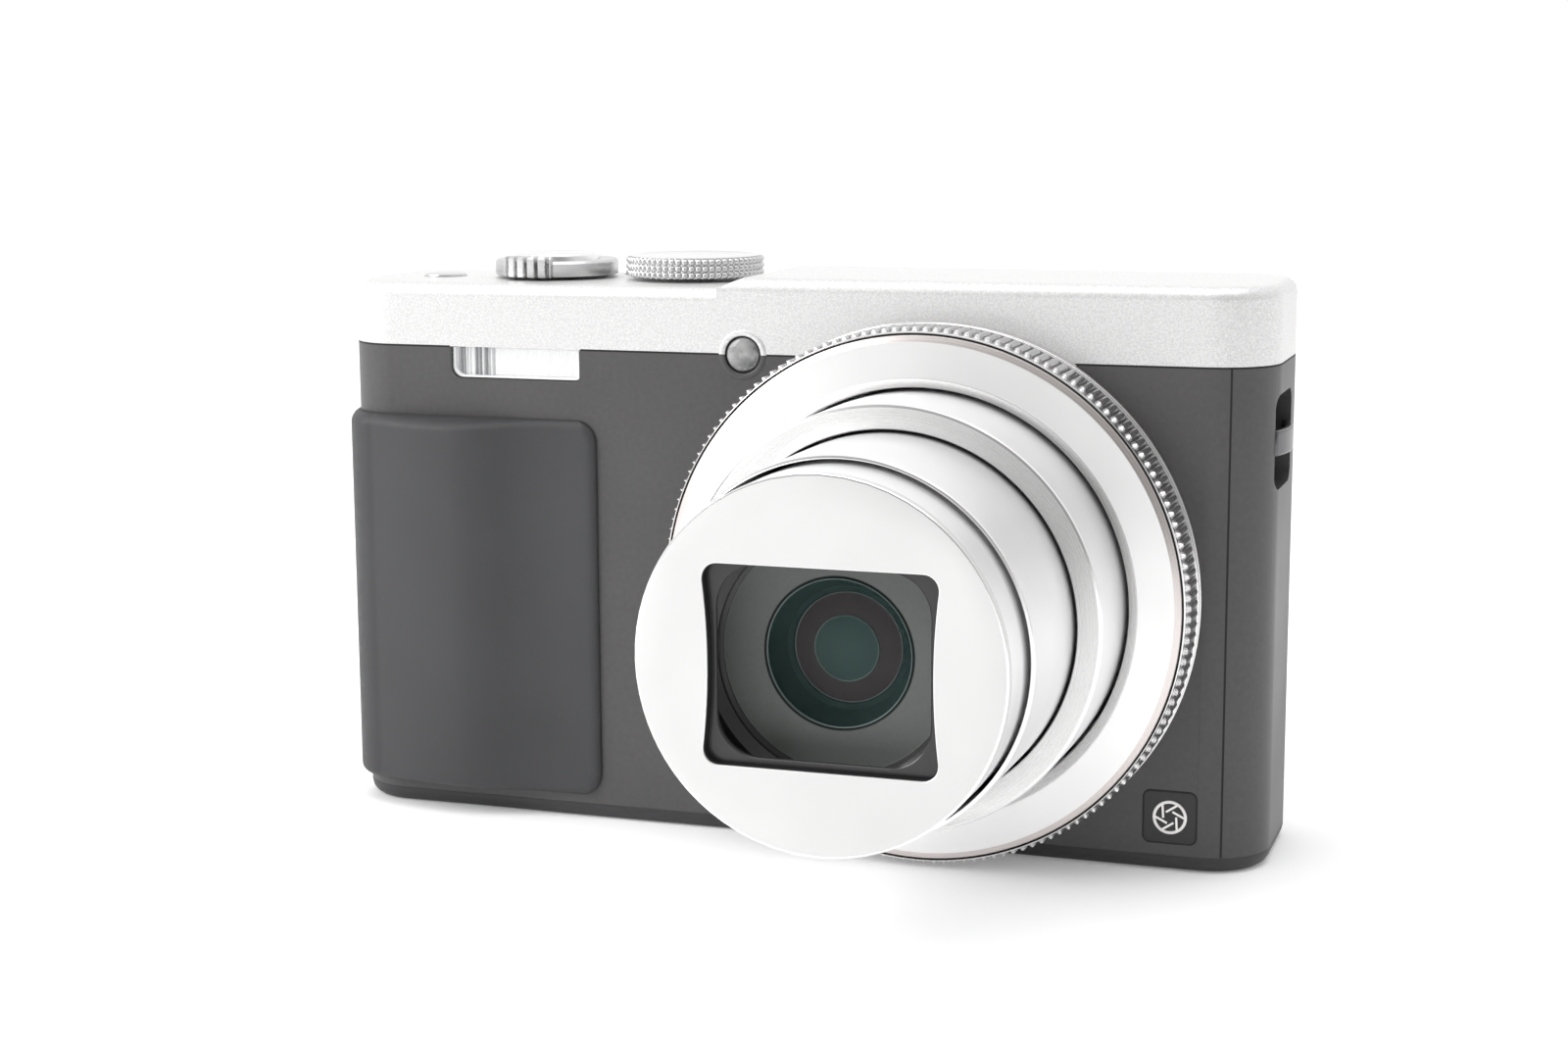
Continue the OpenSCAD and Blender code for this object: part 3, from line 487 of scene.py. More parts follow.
def finish_node(node, slot, bevel=0.12, segments=2):
    """Softens a CAD node's edges and gives it its material."""
    obj = frame["nodes"][node]
    obj.data.materials.clear()
    obj.data.materials.append(M[slot])
    first = obj.modifiers.new("weld", "NODES")
    first.node_group = WELD
    if bevel:
        flat = obj.modifiers.new("flatten", "DECIMATE")
        flat.decimate_type = "DISSOLVE"
        flat.angle_limit = math.radians(0.6)
        edge = obj.modifiers.new("edges", "BEVEL")
        edge.width = bevel * MM
        edge.segments = segments
        edge.limit_method = "ANGLE"
        edge.angle_limit = math.radians(32)
        again = obj.modifiers.new("smooth", "NODES")
        again.node_group = WELD
        keep = obj.modifiers.new("normals", "WEIGHTED_NORMAL")
        keep.keep_sharp = True
    return obj


slot_of = {p["node"]: p["material_slot"] for p in frame["record"]["subparts"]}
EDGE_WIDTHS = {
    0.08: "case_screws door_latch",
    0.1: "front_cover rear_cover side_cover top_cover bottom_cover lens_base sockets af_lamp",
    0.12: "battery_door connector_door",
    0.15: "tripod_insert",
    0.2: "lcd_window power_button movie_button playback_button display_button delete_button "
         "diopter_dial memory_card",
    0.25: "strap_lug set_button",
    0.3: "evf_eyepiece",
    0.6: "battery",
}
soft_edges = {node: width for width, names in EDGE_WIDTHS.items() for node in names.split()}
for node in frame["nodes"]:
    slot = slot_of[node]
    finish_node(node, slot if slot in M else "module_grey", soft_edges.get(node, 0.0))


# ---- control ring, trim ring and rear flange

RING_R, ring_low, _ = disc_mm("control_ring")
trim_out, trim_low, trim_high = disc_mm("trim_ring")
TEETH = 160
TOOTH = 0.46
ring_front = ring_low.y


def smooth(k):
    k = min(1.0, max(0.0, k))
    return k * k * (3 - 2 * k)


def knurl_ring():
    """Plain front rim, round-ended teeth with painted shade in the grooves between them and in a recess, and a thin
    bright flange at the rear.
    """
    root = RING_R - TOOTH
    outer = [(RING_R - 0.66, 0.5), (RING_R - 0.66, 0.06), (RING_R - 0.6, 0.0), (RING_R - 0.54, 0.02),
             (root - 0.01, 0.2)]
    cut = [0.45, 0.55, 0.65, 0.75, 0.85, 0.95, 1.1, 1.3, 1.6, 2.2, 3.4, 4.7, 5.0]
    tail = [(RING_R - 0.6, 5.02), (RING_R - 0.6, 5.45), (RING_R - 0.15, 5.5), (RING_R - 0.02, 5.6),
            (RING_R - 0.02, 5.88), (RING_R - 0.12, 6.0)]
    inner = [(25.7, 6.0), (25.7, 0.8), (RING_R - 0.66, 0.8)]
    profile = [(r, ring_front + y) for r, y in outer + [(root, y) for y in cut] + tail + inner]
    first = len(outer)

    def shape(a, i, r, h):
        if first <= i < first + len(cut):
            across = abs(2 * ((a / TAU * TEETH) % 1.0) - 1)
            start = 0.5 + 0.5 * min(1.0, across / 0.6) ** 2
            ridge = math.sqrt(max(0.0, 1 - (across / 0.88) ** 2))
            r += TOOTH * smooth((h - ring_front - start) / 0.3) * ridge
        return r, h

    piece = lathe("ring_knurled", profile, ["ring_silver", "rim_silver", "groove_grey"], TEETH * 8, shape=shape,
                  bands=[1] * first + [0] * len(cut) + [2, 2, 1, 1, 1, 1] + [0] * len(inner), sharp=50)
    # faces at the teeth's root take the painted groove shade
    for face in piece.data.polygons:
        c = face.center / MM
        low = math.hypot(c.x - AXIS_X, c.z - AXIS_Z) < root + 0.16 and c.y > ring_front + 1.0
        if face.material_index == 0 and low:
            face.material_index = 2
    return piece


own(knurl_ring(), "control_ring", "ring_silver", "control_ring")

trim_front, trim_back = trim_low.y, trim_high.y
trim_in, face_in = 23.3, 24.4
own(lathe("ring_trim", [
    (trim_in, trim_back), (trim_in, trim_front + 0.86), (trim_in + 0.06, trim_front + 0.78),
    (face_in - 0.06, trim_front + 0.02), (face_in + 0.05, trim_front), (face_in + 0.25, trim_front + 0.03),
    (trim_out - 0.8, ring_front - 0.33), (trim_out - 0.75, ring_front - 0.31), (trim_out - 0.16, ring_front - 0.02),
    (trim_out - 0.1, ring_front + 0.06), (trim_out - 0.1, trim_back)],
    ["trim_silver", "bevel_silver", "bevel_dark"], 320, bands=[1, 1, 1, 1, 0, 0, 2, 2, 2, 1, 1], sharp=14),
    "body", "trim_silver", "trim_ring")
# near-black ring in the gap between the trim ring and the control ring: painted shade
own(lathe("ring_gap_shade", [(trim_out - 0.09, ring_front + 0.3), (trim_out + 0.07, ring_front + 0.3),
                       (trim_out + 0.07, ring_front + 0.5), (trim_out - 0.09, ring_front + 0.5)],
          ["seam_black"], 320), "body", "inner_black")


# ---- barrels

def barrel(name, body, node, r, front, back, wall, bands, head):
    """Telescoping tube. head is its front profile from the bore outwards: (radius, distance from the front)."""
    profile = [(r - wall, back)] + [(q, front + d) for q, d in head] + [(r, back - 0.1), (r - 0.1, back)]
    index = [0] + bands + [0, 0]
    piece = lathe(name, profile, ["barrel_silver", "bevel_silver", "rim_silver", "inner_black"], 320,
                  bands=index, sharp=24)
    return own(piece, body, "barrel_silver", node)


R1, b1_low, b1_high = disc_mm("barrel_1")
R2, b2_low, b2_high = disc_mm("barrel_2")
R3, b3_low, b3_high = disc_mm("barrel_3")
# rear barrel: dished bevel from the bore rim out to a thin bright edge
barrel("tube_rear", "rear_barrel", "barrel_1", R1, b1_low.y, b1_high.y, 1.4,
       [3, 3, 2, 1, 1, 1, 1, 2, 2, 0],
       [(R1 - 1.4, 3.2), (20.15, 3.1), (20.15, 0.68), (20.27, 0.55), (20.9, 0.36), (21.6, 0.18), (22.2, 0.07),
        (R1 - 0.36, 0.0), (R1 - 0.12, 0.08), (R1, 0.3)])
barrel("tube_middle", "middle_barrel", "barrel_2", R2, b2_low.y, b2_high.y, 0.45,
       [3, 2, 2, 2, 0], [(R2 - 0.45, 0.3), (R2 - 0.4, 0.04), (R2 - 0.3, 0.0), (R2 - 0.1, 0.05), (R2, 0.22)])
barrel("tube_front", "front_barrel", "barrel_3", R3, b3_low.y, b3_high.y, 0.55,
       [3, 0, 0], [(R3 - 0.55, 0.1), (R3 - 0.5, 0.0), (R3, 0.0)])


# ---- front ring with its window

FACE_Y = box_mm("front_ring")[0].y
WIN_W, WIN_H, WIN_R, WIN_BOW = 24.3, 20.05, 1.8, 0.75
WIN_DX, WIN_DZ = 0.12, -0.32


def window_loop(shrink):
    """Window outline by angle: straight top and bottom, sides bowed inwards, round corners."""
    w, h, r = WIN_W / 2 - shrink, WIN_H / 2 - shrink, WIN_R - shrink
    pts = []
    for corner in CORNERS:
        sx, sy = corner[:2]
        pts += corner_arc(corner, w, h, r)
        if sy == (-1 if sx == 1 else 1):
            for i in range(1, 16):
                z = sy * (h - r) * (1 - 2 * i / 16)
                pts.append((sx * w, z))
        else:
            for i in range(1, 16):
                pts.append((sx * (w - r) * (1 - 2 * i / 16), sy * h))
    out = []
    for x, y in pts:
        bow = WIN_BOW * max(0.0, 1 - (y / h) ** 2)
        share = min(1.0, max(0.0, (abs(x) - w + r + 2.0) / 2.0))
        out.append((x - math.copysign(bow, x) * share + WIN_DX, y + WIN_DZ))
    return out


def front_plate():
    """Disc with a bevelled window, a fine edge and a wall behind the face."""
    loops = []
    for shrink, depth in ((0.0, 1.0), (0.0, 0.14), (-0.04, 0.04), (-0.12, 0.0)):
        loops.append([(x, FACE_Y + depth, z) for x, z in window_loop(shrink)])
    rim = window_loop(-0.12)
    angles = [math.atan2(z, x) for x, z in rim]
    for k in (0.3, 0.6, 1.0):
        ring = []
        for (x, z), a in zip(rim, angles):
            rx, rz = (R3 - 0.22) * math.cos(a), (R3 - 0.22) * math.sin(a)
            ring.append((x + (rx - x) * k, FACE_Y, z + (rz - z) * k))
        loops.append(ring)
    for r, d in ((R3 - 0.08, 0.04), (R3, 0.14), (R3, 1.0), (R3 - 0.4, 1.0)):
        loops.append([(r * math.cos(a), FACE_Y + d, r * math.sin(a)) for a in angles])
    placed = [[(AXIS_X + x, y, AXIS_Z + z) for x, y, z in loop] for loop in loops]
    verts, faces = loft(placed, wrap=True)
    index = spread((3, 1, 1, 0, 0, 0, 2, 2, 0, 0, 3), len(angles))
    mats = ["front_white", "trim_silver", "rim_silver", "inner_black"]
    return add_mesh("ring_front", verts, faces, mats, index, 24, clean=True)


own(front_plate(), "front_barrel", "front_white", "front_ring")


# ---- lens cell, front glass and the elements behind it

CELL_R, _, cell_high = disc_mm("lens_cell")
glass_edge, glass_low, _ = disc_mm("front_glass")
GLASS_R = glass_edge - 0.33
GLASS_Y = glass_low.y - 1.1
DISC_Y = GLASS_Y + 1.0

own(lathe("cell_disc", [
    (GLASS_R + 0.12, DISC_Y + 1.8), (GLASS_R + 0.12, DISC_Y + 0.1), (GLASS_R + 0.25, DISC_Y),
    (11.9, DISC_Y), (12.05, DISC_Y - 0.05), (12.1, DISC_Y + 0.6)],
    ["cell_grey", "inner_black"], 224, bands=[1, 1, 0, 0, 0, 0]), "front_barrel", "cell_grey", "lens_cell")
own(lathe("cell_cone", [
    (12.02, DISC_Y + 0.2), (12.05, DISC_Y - 0.25), (12.5, DISC_Y - 0.4), (12.55, DISC_Y - 0.75),
    (13.6, DISC_Y - 1.6), (CELL_R - 0.5, DISC_Y - 1.6), (CELL_R - 0.5, FACE_Y + 3.2),
    (CELL_R, FACE_Y + 3.2), (CELL_R, cell_high.y), (13.0, cell_high.y)],
    ["mask_black"], 224, sharp=20), "front_barrel", "inner_black")


MASK_LIFT = 0.55


def mask_plate():
    """Black mask behind the front ring, with a squarer round-cornered opening and small corner steps."""
    rows = []
    for w, h, r, y in ((21.8, 19.8, 4.4, 1.7), (21.8, 19.8, 4.4, 1.25), (22.0, 20.0, 4.4, 1.15)):
        rows.append([(x + WIN_DX, FACE_Y + y, z + WIN_DZ + (MASK_LIFT if corner[1] < 0 else 0.0))
                     for corner in CORNERS for x, z in corner_arc(corner, w / 2, h / 2, r, 12)])
    angles = [math.atan2(z, x) for x, _, z in rows[-1]]
    for r, y in ((CELL_R, 1.15), (CELL_R, 1.7)):
        rows.append([(r * math.cos(a), FACE_Y + y, r * math.sin(a)) for a in angles])
    verts, faces = loft([[(AXIS_X + x, y, AXIS_Z + z) for x, y, z in row] for row in rows], wrap=True)
    return add_mesh("cell_mask", verts, faces, "mask_black", sharp=24)


own(mask_plate(), "front_barrel", "inner_black")

dome = [(GLASS_R * i / 12, GLASS_Y + 1.1 * (i / 12) ** 2) for i in range(13)]
own(lathe("glass_front", [(0.0, GLASS_Y + 1.35)] + dome
          + [(GLASS_R, GLASS_Y + 1.2), (GLASS_R - 0.1, GLASS_Y + 1.35)],
          ["lens_glass"], 192, sharp=30), "front_barrel", "lens_glass", "front_glass")
own(lathe("glass_rim", [(GLASS_R - 0.16, GLASS_Y + 1.2), (GLASS_R - 0.12, GLASS_Y + 1.02),
                        (GLASS_R - 0.04, GLASS_Y + 0.98), (GLASS_R, GLASS_Y + 1.1), (GLASS_R, GLASS_Y + 1.3)],
          ["lens_edge"], 192), "front_barrel", "cell_grey")
deep = GLASS_Y + 1.5
own(lathe("element_well", [(7.5, deep), (7.2, deep + 0.8), (6.3, deep + 2.4), (5.75, deep + 2.6), (5.75, deep + 5.6),
                           (7.8, deep + 5.6), (7.8, deep)], ["lens_wall"], 160, sharp=26),
    "front_barrel", "cell_grey")


def element(name, r, front, bulge, back, mat, slot, steps=12):
    """Convex lens element seen from the front."""
    curve = [(r * i / steps, front + bulge * (i / steps) ** 2) for i in range(1, steps + 1)]
    piece = lathe(name, [(0.0, front)] + curve + [(r, back), (0.0, back)], [mat], 160)
    return own(piece, "front_barrel", slot)


def element_rim(name, r, y):
    """Fine bright line round an element's edge."""
    section = [(r - 0.07, y + 0.12), (r - 0.04, y), (r + 0.02, y - 0.02), (r + 0.07, y + 0.1)]
    piece = lathe(name, section, ["lens_edge"], 160)
    return own(piece, "front_barrel", "cell_grey")


element("element_second", 5.55, deep + 2.0, 0.8, deep + 5.4, "lens_band", "lens_glass")
element_rim("element_second_rim", 5.6, deep + 2.72)
element("element_third", 3.3, deep + 1.85, 0.28, deep + 2.9, "lens_deep", "lens_glass")
element_rim("element_third_rim", 3.32, deep + 2.1)


# ---- grip

# shares of the grip's width, from the left end, where its side and its bend end
SIDE, BEND = 0.08, 0.34


def grip_pad():
    """Rubber grip: crest, concave slope to a flat pad, and a rounded border all round."""
    low, high = box_mm("grip")
    x_end, z0, z1 = high.x, low.z, high.z
    side_out = LEFT - low.x
    crest_x, slope_w, swell_x = high.x - 14.4, 9.5, LEFT + 4.8
    crest_t, pad_t, corner, crest_soft = 3.6, 0.9, 2.6, 2.8

    def raw_thick(x):
        if x < crest_x:
            return crest_t + 0.15 - 2.2 * ((x - crest_x) / 14) ** 2
        k = max(0.0, 1 - (x - crest_x) / slope_w)
        return pad_t + (crest_t + 0.15 - pad_t) * k ** 1.8

    def thick(x):
        """The section with its crest rounded off, averaged over the soft width."""
        return sum(raw_thick(x + crest_soft * i / 6) for i in range(-6, 7)) / 13

    def outside(s):
        """Point and its foot on the body, s from 0 on the side to 1 at the right edge."""
        top = FRONT - thick(swell_x)
        turn_y = FRONT + 6.5
        ry = turn_y - top
        rx = swell_x - LEFT + side_out
        if s < SIDE:
            y = -2.6 + (turn_y + 2.6) * s / SIDE
            return (LEFT - side_out, y), (LEFT, max(y, FRONT + CORNER_R))
        if s < BEND:
            a = (s - SIDE) / (BEND - SIDE) * math.pi / 2
            p = (swell_x - rx * math.cos(a), turn_y - ry * math.sin(a))
            cx, cy = LEFT + CORNER_R, FRONT + CORNER_R
            d = Vector((p[0] - cx, p[1] - cy))
            if p[0] > cx:
                return p, (p[0], FRONT)
            if p[1] > cy:
                return p, (LEFT, p[1])
            d = d.normalized() * CORNER_R
            return p, (cx + d.x, cy + d.y)
        x = swell_x + (x_end - swell_x) * (s - BEND) / (1 - BEND)
        return (x, FRONT - thick(x)), (x, FRONT)

    across = [(1 - math.cos(math.pi * i / 2 / 7)) * 0.03 for i in range(8)]
    across += [0.03 + (0.93 - 0.03) * i / 84 for i in range(1, 85)]
    across += [0.93 + 0.07 * math.sin(math.pi * i / 2 / 12) for i in range(1, 13)]
    soft = 1.35
    ups = [0.0] + [soft * (1 - math.cos(math.pi * i / 2 / 8)) for i in range(1, 9)]
    tall = z1 - z0
    ups = ups + [soft + (tall - 2 * soft) * i / 60 for i in range(1, 60)] + [tall - u for u in reversed(ups)]
    grid = []

    def rounding(d):
        k = min(1.0, max(0.0, d / soft))
        return math.sqrt(1 - (1 - k) ** 2)

    columns = len(across)
    span_mm = x_end - swell_x
    for u in ups:
        near = min(u, z1 - z0 - u)
        cut = corner - math.sqrt(max(0.0, corner ** 2 - (corner - min(near, corner)) ** 2))
        s_max = 1 - cut / span_mm * (1 - BEND)
        row = []
        for s in across:
            q = s * s_max
            p, foot = outside(q)
            right_gap = (s_max - q) / (1 - BEND) * span_mm
            left_gap = q / SIDE * 3.0
            edge = min(near, left_gap, max(0.0, right_gap) * 1.15 if q > SIDE else near)
            f = 0.1 + 0.9 * rounding(edge)
            row.append((foot[0] + (p[0] - foot[0]) * f, foot[1] + (p[1] - foot[1]) * f, z0 + u))
        grid.append(row)
    verts, faces = loft(grid, closed=False)
    rows = len(ups)
    border = [i for i in range(columns)] + [j * columns + columns - 1 for j in range(1, rows)]
    border += [(rows - 1) * columns + i for i in range(columns - 2, -1, -1)]
    border += [j * columns for j in range(rows - 2, 0, -1)]
    start = len(verts)
    centre = Vector(((LEFT + x_end) / 2, 0, (z0 + z1) / 2))
    for b in border:
        x, y, z = verts[b]
        dx, dz = centre.x - x, centre.z - z
        if x > LEFT + 3:
            k = 0.3
            nx = math.copysign(k if abs(dx) > 14 and x > 0.5 * (LEFT + x_end) else 0.0, dx)
            nz = math.copysign(k if near_edge(z, z0, z1) else 0.0, dz)
            verts.append((x + nx, FRONT + 0.3, z + nz))
        else:
            inward = Vector((centre.x - x, 3.0 - y)).normalized() * 0.9
            nz = math.copysign(0.3 if near_edge(z, z0, z1) else 0.0, dz)
            verts.append((x + inward.x, y + inward.y, z + nz))
    n = len(border)
    for i in range(n):
        j = (i + 1) % n
        faces.append((border[i], border[j], start + j, start + i))
    return add_mesh("grip_pad", verts, faces, "grip_rubber", sharp=75)


def near_edge(z, z0, z1):
    return min(z - z0, z1 - z) < 1.0


own(grip_pad(), "body", "grip_rubber", "grip")


# ---- painted seam shade, lamp rim and badge mark

lamp = middle_mm("af_lamp")
lamp_back = box_mm("af_lamp")[1].y
flash_low, flash_high = box_mm("flash_window")
# half width of the painted seam shade strips
SEAM_SHADE_HALF = 0.11
PROUD = 0.012


def seam_shade_ribbon(name, path):
    """Thin near-black strip of painted seam shade along a path of points that lie on the surface, all at the deck
    seam's height.
    """
    verts = [(x, y, SEAM_Z + side) for x, y in path for side in (-SEAM_SHADE_HALF, SEAM_SHADE_HALF)]
    faces = [(2 * i, 2 * i + 2, 2 * i + 3, 2 * i + 1) for i in range(len(path) - 1)]
    return own(add_mesh(name, verts, faces, "seam_black"), "body", "inner_black")


front_line = FRONT - PROUD
lamp_gap = 2.87
seam_shade_ribbon("seam_deck", [(lamp.x + lamp_gap, front_line)] + outline_loop(-PROUD) + [(flash_low.x - 0.15, front_line)])
seam_shade_ribbon("seam_deck_mid", [(flash_high.x + 0.15, front_line), (lamp.x - lamp_gap, front_line)])


def seam_shade_strip(name, side):
    """Thin near-black strip of painted seam shade down the side cover's seam with the front (-1) or rear (1) cover, on
    the corner's curve.
    """
    low, high = 1.9, SEAM_Z
    edge_y = FRONT + CORNER_R if side < 0 else BACK - CORNER_R
    pts = []
    for x in (SIDE_SEAM - SEAM_SHADE_HALF, SIDE_SEAM + SEAM_SHADE_HALF):
        drop = math.sqrt((CORNER_R + PROUD) ** 2 - (x - RIGHT + CORNER_R) ** 2)
        pts.append((x, edge_y + side * drop))
    (x0, y0), (x1, y1) = pts
    verts = [(x0, y0, low), (x1, y1, low), (x1, y1, high), (x0, y0, high)]
    return own(add_mesh(name, verts, [(0, 1, 2, 3)], "seam_black"), "body", "inner_black")


seam_shade_strip("seam_side_front", -1)
seam_shade_strip("seam_side_rear", 1)


def arc_band(name, cx, cz, r0, r1, y_out, y_in, mat, start, end, steps=64):
    """Raised band along an arc on the front face, with a rounded section."""
    section = []
    for i in range(9):
        a = math.pi * i / 8
        section.append(((r0 + r1) / 2 - (r1 - r0) / 2 * math.cos(a), y_in + (y_out - y_in) * math.sin(a)))
    turns = [math.radians(start + (end - start) * s / steps) for s in range(steps + 1)]
    verts, faces = loft([[(cx + r * math.cos(a), y, cz + r * math.sin(a)) for r, y in section] for a in turns],
                        closed=False)
    return add_mesh(name, verts, faces, mat)


own(arc_band("lamp_rim", lamp.x, SEAM_Z, 2.12, 2.85, FRONT - 0.16, FRONT + 0.05, "top_silver", 0, 180),
    "body", "top_silver")
own(arc_band("lamp_rim_low", lamp.x, SEAM_Z, 2.12, 2.85, FRONT - 0.12, FRONT + 0.05, "black_casing", 180, 360),
    "body", "black_casing")
LAMP_R = 1.95
own(lathe("lamp_dome", [(0.0, FRONT - 0.3)] + [(LAMP_R * math.sin(a), FRONT + 0.25 - 0.55 * math.cos(a))
                                             for a in [math.pi / 2 * i / 10 for i in range(1, 11)]]
          + [(LAMP_R, FRONT + 1.2), (LAMP_R + 0.25, FRONT + 1.25), (LAMP_R + 0.25, lamp_back), (0.0, lamp_back)],
          ["lamp_lens"], 96, centre=(lamp.x, 0, SEAM_Z)), "body", "lamp_lens", "af_lamp")
# near-black ring seen through the gap round the lamp: painted shade
own(lathe("lamp_socket_shade", [(LAMP_R + 0.02, FRONT + 0.25), (2.5, FRONT + 0.25), (2.5, FRONT + 1.1),
                          (LAMP_R + 0.02, FRONT + 1.1)],
          ["seam_black"], 96, centre=(lamp.x, 0, SEAM_Z)), "body", "inner_black")

badge_low, badge_high = box_mm("badge")
badge = (badge_low + badge_high) / 2


def badge_plate():
    """Small rounded-square plate with a soft edge, its sides near-black as painted shade at its border."""
    half, r = (badge_high.x - badge_low.x) / 2 + 0.2, 0.9
    rows = []
    for inset, y in ((0.3, badge_high.y), (0.0, FRONT + 0.01), (0.05, FRONT - 0.03), (0.22, FRONT - 0.05)):
        rr = max(0.05, r - inset)
        side = half - inset
        rows.append([(badge.x + x, y, badge.z + z)
                     for corner in CORNERS for x, z in corner_arc(corner, side, side, rr)])
    verts, faces = loft(rows)
    n = len(rows[0])
    faces.append(tuple(3 * n + i for i in range(n)))
    return add_mesh("badge_plate", verts, faces, ["badge_black", "seam_black"], [1] * (3 * n) + [0])


own(badge_plate(), "body", "badge_black", "badge")
own(arc_band("badge_mark_ring", badge.x, badge.z, 1.55, 1.9, FRONT - 0.12, FRONT - 0.04, "mark_silver", 0, 360, 72),
    "body", "top_silver")


def iris_marks():
    """Six short blades inside the badge's ring, a plain iris sign."""
    verts, faces = [], []
    for k in range(6):
        a = TAU * k / 6
        p = Vector((1.62 * math.cos(a), 1.62 * math.sin(a)))
        q = Vector((0.72 * math.cos(a + 1.15), 0.72 * math.sin(a + 1.15)))
        side = Vector((-(q - p).y, (q - p).x)).normalized() * 0.12
        base = len(verts)
        for c in (p - side, p + side, q + side, q - side):
            verts.append((badge.x + c.x, FRONT - 0.1, badge.z + c.y))
        for c in (p - side, p + side, q + side, q - side):
            verts.append((badge.x + c.x, FRONT - 0.03, badge.z + c.y))
        faces.append((base, base + 1, base + 2, base + 3))
        for i in range(4):
            faces.append((base + i, base + (i + 1) % 4, base + 4 + (i + 1) % 4, base + 4 + i))
    return add_mesh("badge_mark_iris", verts, faces, "mark_silver")


own(iris_marks(), "body", "top_silver")


# ---- flash

FLASH_CORNERS = (1.25, 0.5)


def flash_outline(inset):
    """Outline from the top left down and round to the top right, with a larger corner at the lower left."""
    x0, x1 = flash_low.x + inset, flash_high.x - inset
    z0, z1 = flash_low.z + inset, flash_high.z
    pts = [(x0, z1)]
    left, right = FLASH_CORNERS
    for start, r, cx in ((180, left, x0 + left), (270, right, x1 - right)):
        for i in range(9):
            a = math.radians(start + 90 * i / 8)
            pts.append((cx + r * math.cos(a), z0 + r + r * math.sin(a)))
    pts.append((x1, z1))
    return pts


def flash_cover():
    rows = [[(x, FRONT + y, z) for x, z in flash_outline(inset)]
            for inset, y in ((0.14, 0.9), (0.14, 0.1), (0.24, 0.02))]
    verts, faces = loft(rows)
    n = len(rows[0])
    faces.append(tuple(2 * n + i for i in range(n)))
    return add_mesh("flash_cover", verts, faces, "flash_clear")


def flash_frame():
    """Surround that fills the corners of the cover's notch, and the groove with near-black painted shade and the
    bright lip inside it.
    """
    lip, inner, outer = flash_outline(0.36), flash_outline(0.13), flash_outline(0.03)
    reach = max(FLASH_CORNERS)
    square = []
    for x, z in outer:
        if x < flash_low.x + reach:
            x = flash_low.x - 0.1
        elif x > flash_high.x - reach:
            x = flash_high.x + 0.1
        square.append((x, flash_low.z - 0.1 if z < flash_low.z + reach else z))
    rows = [(lip, 0.95), (lip, 0.5), (inner, 0.42), (inner, 1.1), (outer, 1.1), (outer, 0.01), (square, 0.01),
            (square, 1.1)]
    verts, faces = loft([[(x, FRONT + y, z) for x, z in row] for row, y in rows], closed=False)
    # the groove's walls take the near-black painted shade
    index = spread((2, 2, 1, 1, 1, 0, 0), len(inner) - 1)
    return add_mesh("flash_frame", verts, faces, ["black_casing", "seam_black", "reflector"], index, sharp=30)


def flash_ribs():
    """Bright fine ribs behind the cover, and a few dark prism bars at the left end."""
    x0, x1 = flash_low.x + 0.1, flash_high.x - 0.1
    z0, z1 = flash_low.z + 0.15, flash_high.z
    ends = ((0.35, 0), (0.6, 2), (1.0, 1), (1.15, 2), (1.3, 1), (1.5, 0), (1.6, 2), (1.9, 0), (2.0, 2), (2.45, 0),
            (2.6, 2), (2.9, 1), (3.1, 2), (3.4, 1), (3.6, 0), (3.8, 2), (4.15, 1), (4.5, 2), (4.7, 0), (5.1, 2))
    edges, start = [], x0
    for end, band in ends:
        edges.append((start, x0 + end, band))
        start = x0 + end
    count = int((x1 - start) / 0.28)
    edges += [(start + (x1 - start) * i / count, start + (x1 - start) * (i + 1) / count, 0) for i in range(count)]
    verts, faces, index = [], [], []
    for a, b, k in edges:
        base = len(verts)
        for x, y in ((a, FRONT + 1.05), ((a + b) / 2, FRONT + 0.97), (b, FRONT + 1.05)):
            verts += [(x, y, z0), (x, y, z1)]
        faces += [(base, base + 1, base + 3, base + 2), (base + 2, base + 3, base + 5, base + 4)]
        index += [k, k]
    return add_mesh("flash_ribs", verts, faces, ["reflector", "flash_stripe", "flash_mid"], index, 8)


own(flash_cover(), "body", "flash_clear", "flash_window")
own(flash_frame(), "body", "black_casing")
own(flash_ribs(), "body", "reflector")


# ---- deck controls

DIAL_R, _, dial_high = disc_mm("mode_dial")
DIAL_X, DIAL_Y, _ = middle_mm("mode_dial")
dial_z = dial_high.z - 2.5


def beaded_dial():
    """Dial with three rows of beads and a slightly dished top."""
    beads, rows, step = 62, 3, 7
    height = 2.3 / rows
    wall = []
    for i in range(rows * step + 1):
        wall.append((DIAL_R - 0.12, dial_z + 0.05 + 2.3 * i / (rows * step)))
    profile = [(0.0, dial_z), (DIAL_R - 0.4, dial_z)] + wall
    first = 2
    profile += [(DIAL_R - 0.28, dial_high.z - 0.06), (DIAL_R - 0.6, dial_high.z), (DIAL_R - 1.1, dial_high.z - 0.03),
                (DIAL_R - 1.4, dial_high.z - 0.16), (DIAL_R - 2.4, dial_high.z - 0.22), (0.0, dial_high.z - 0.24)]
    bands = [0, 0] + [0] * len(wall) + [1] * 6

    def shape(a, i, r, h):
        if first <= i < first + len(wall):
            v = (h - dial_z - 0.05) / height
            row = min(rows - 1, int(v))
            dv = 2 * (v - row) - 1
            du = 2 * ((a / TAU * beads) % 1.0) - 1
            inside = max(0.0, 1 - (du * du + dv * dv) / 0.92)
            r += 0.34 * math.sqrt(inside) - 0.22
        return r, h

    return lathe("dial_mode", profile, ["dial_grey", "dial_top"], beads * 8, (DIAL_X, DIAL_Y, 0), "Z",
                 bands, shape, 50)


own(beaded_dial(), "mode_dial", "dial_grey", "mode_dial")

LEVER_R, _, lever_high = disc_mm("zoom_lever")
BUTTON_R, _, button_high = disc_mm("shutter_button")
LEVER_X, LEVER_Y, _ = middle_mm("shutter_button")
lever_z = lever_high.z - 2.5


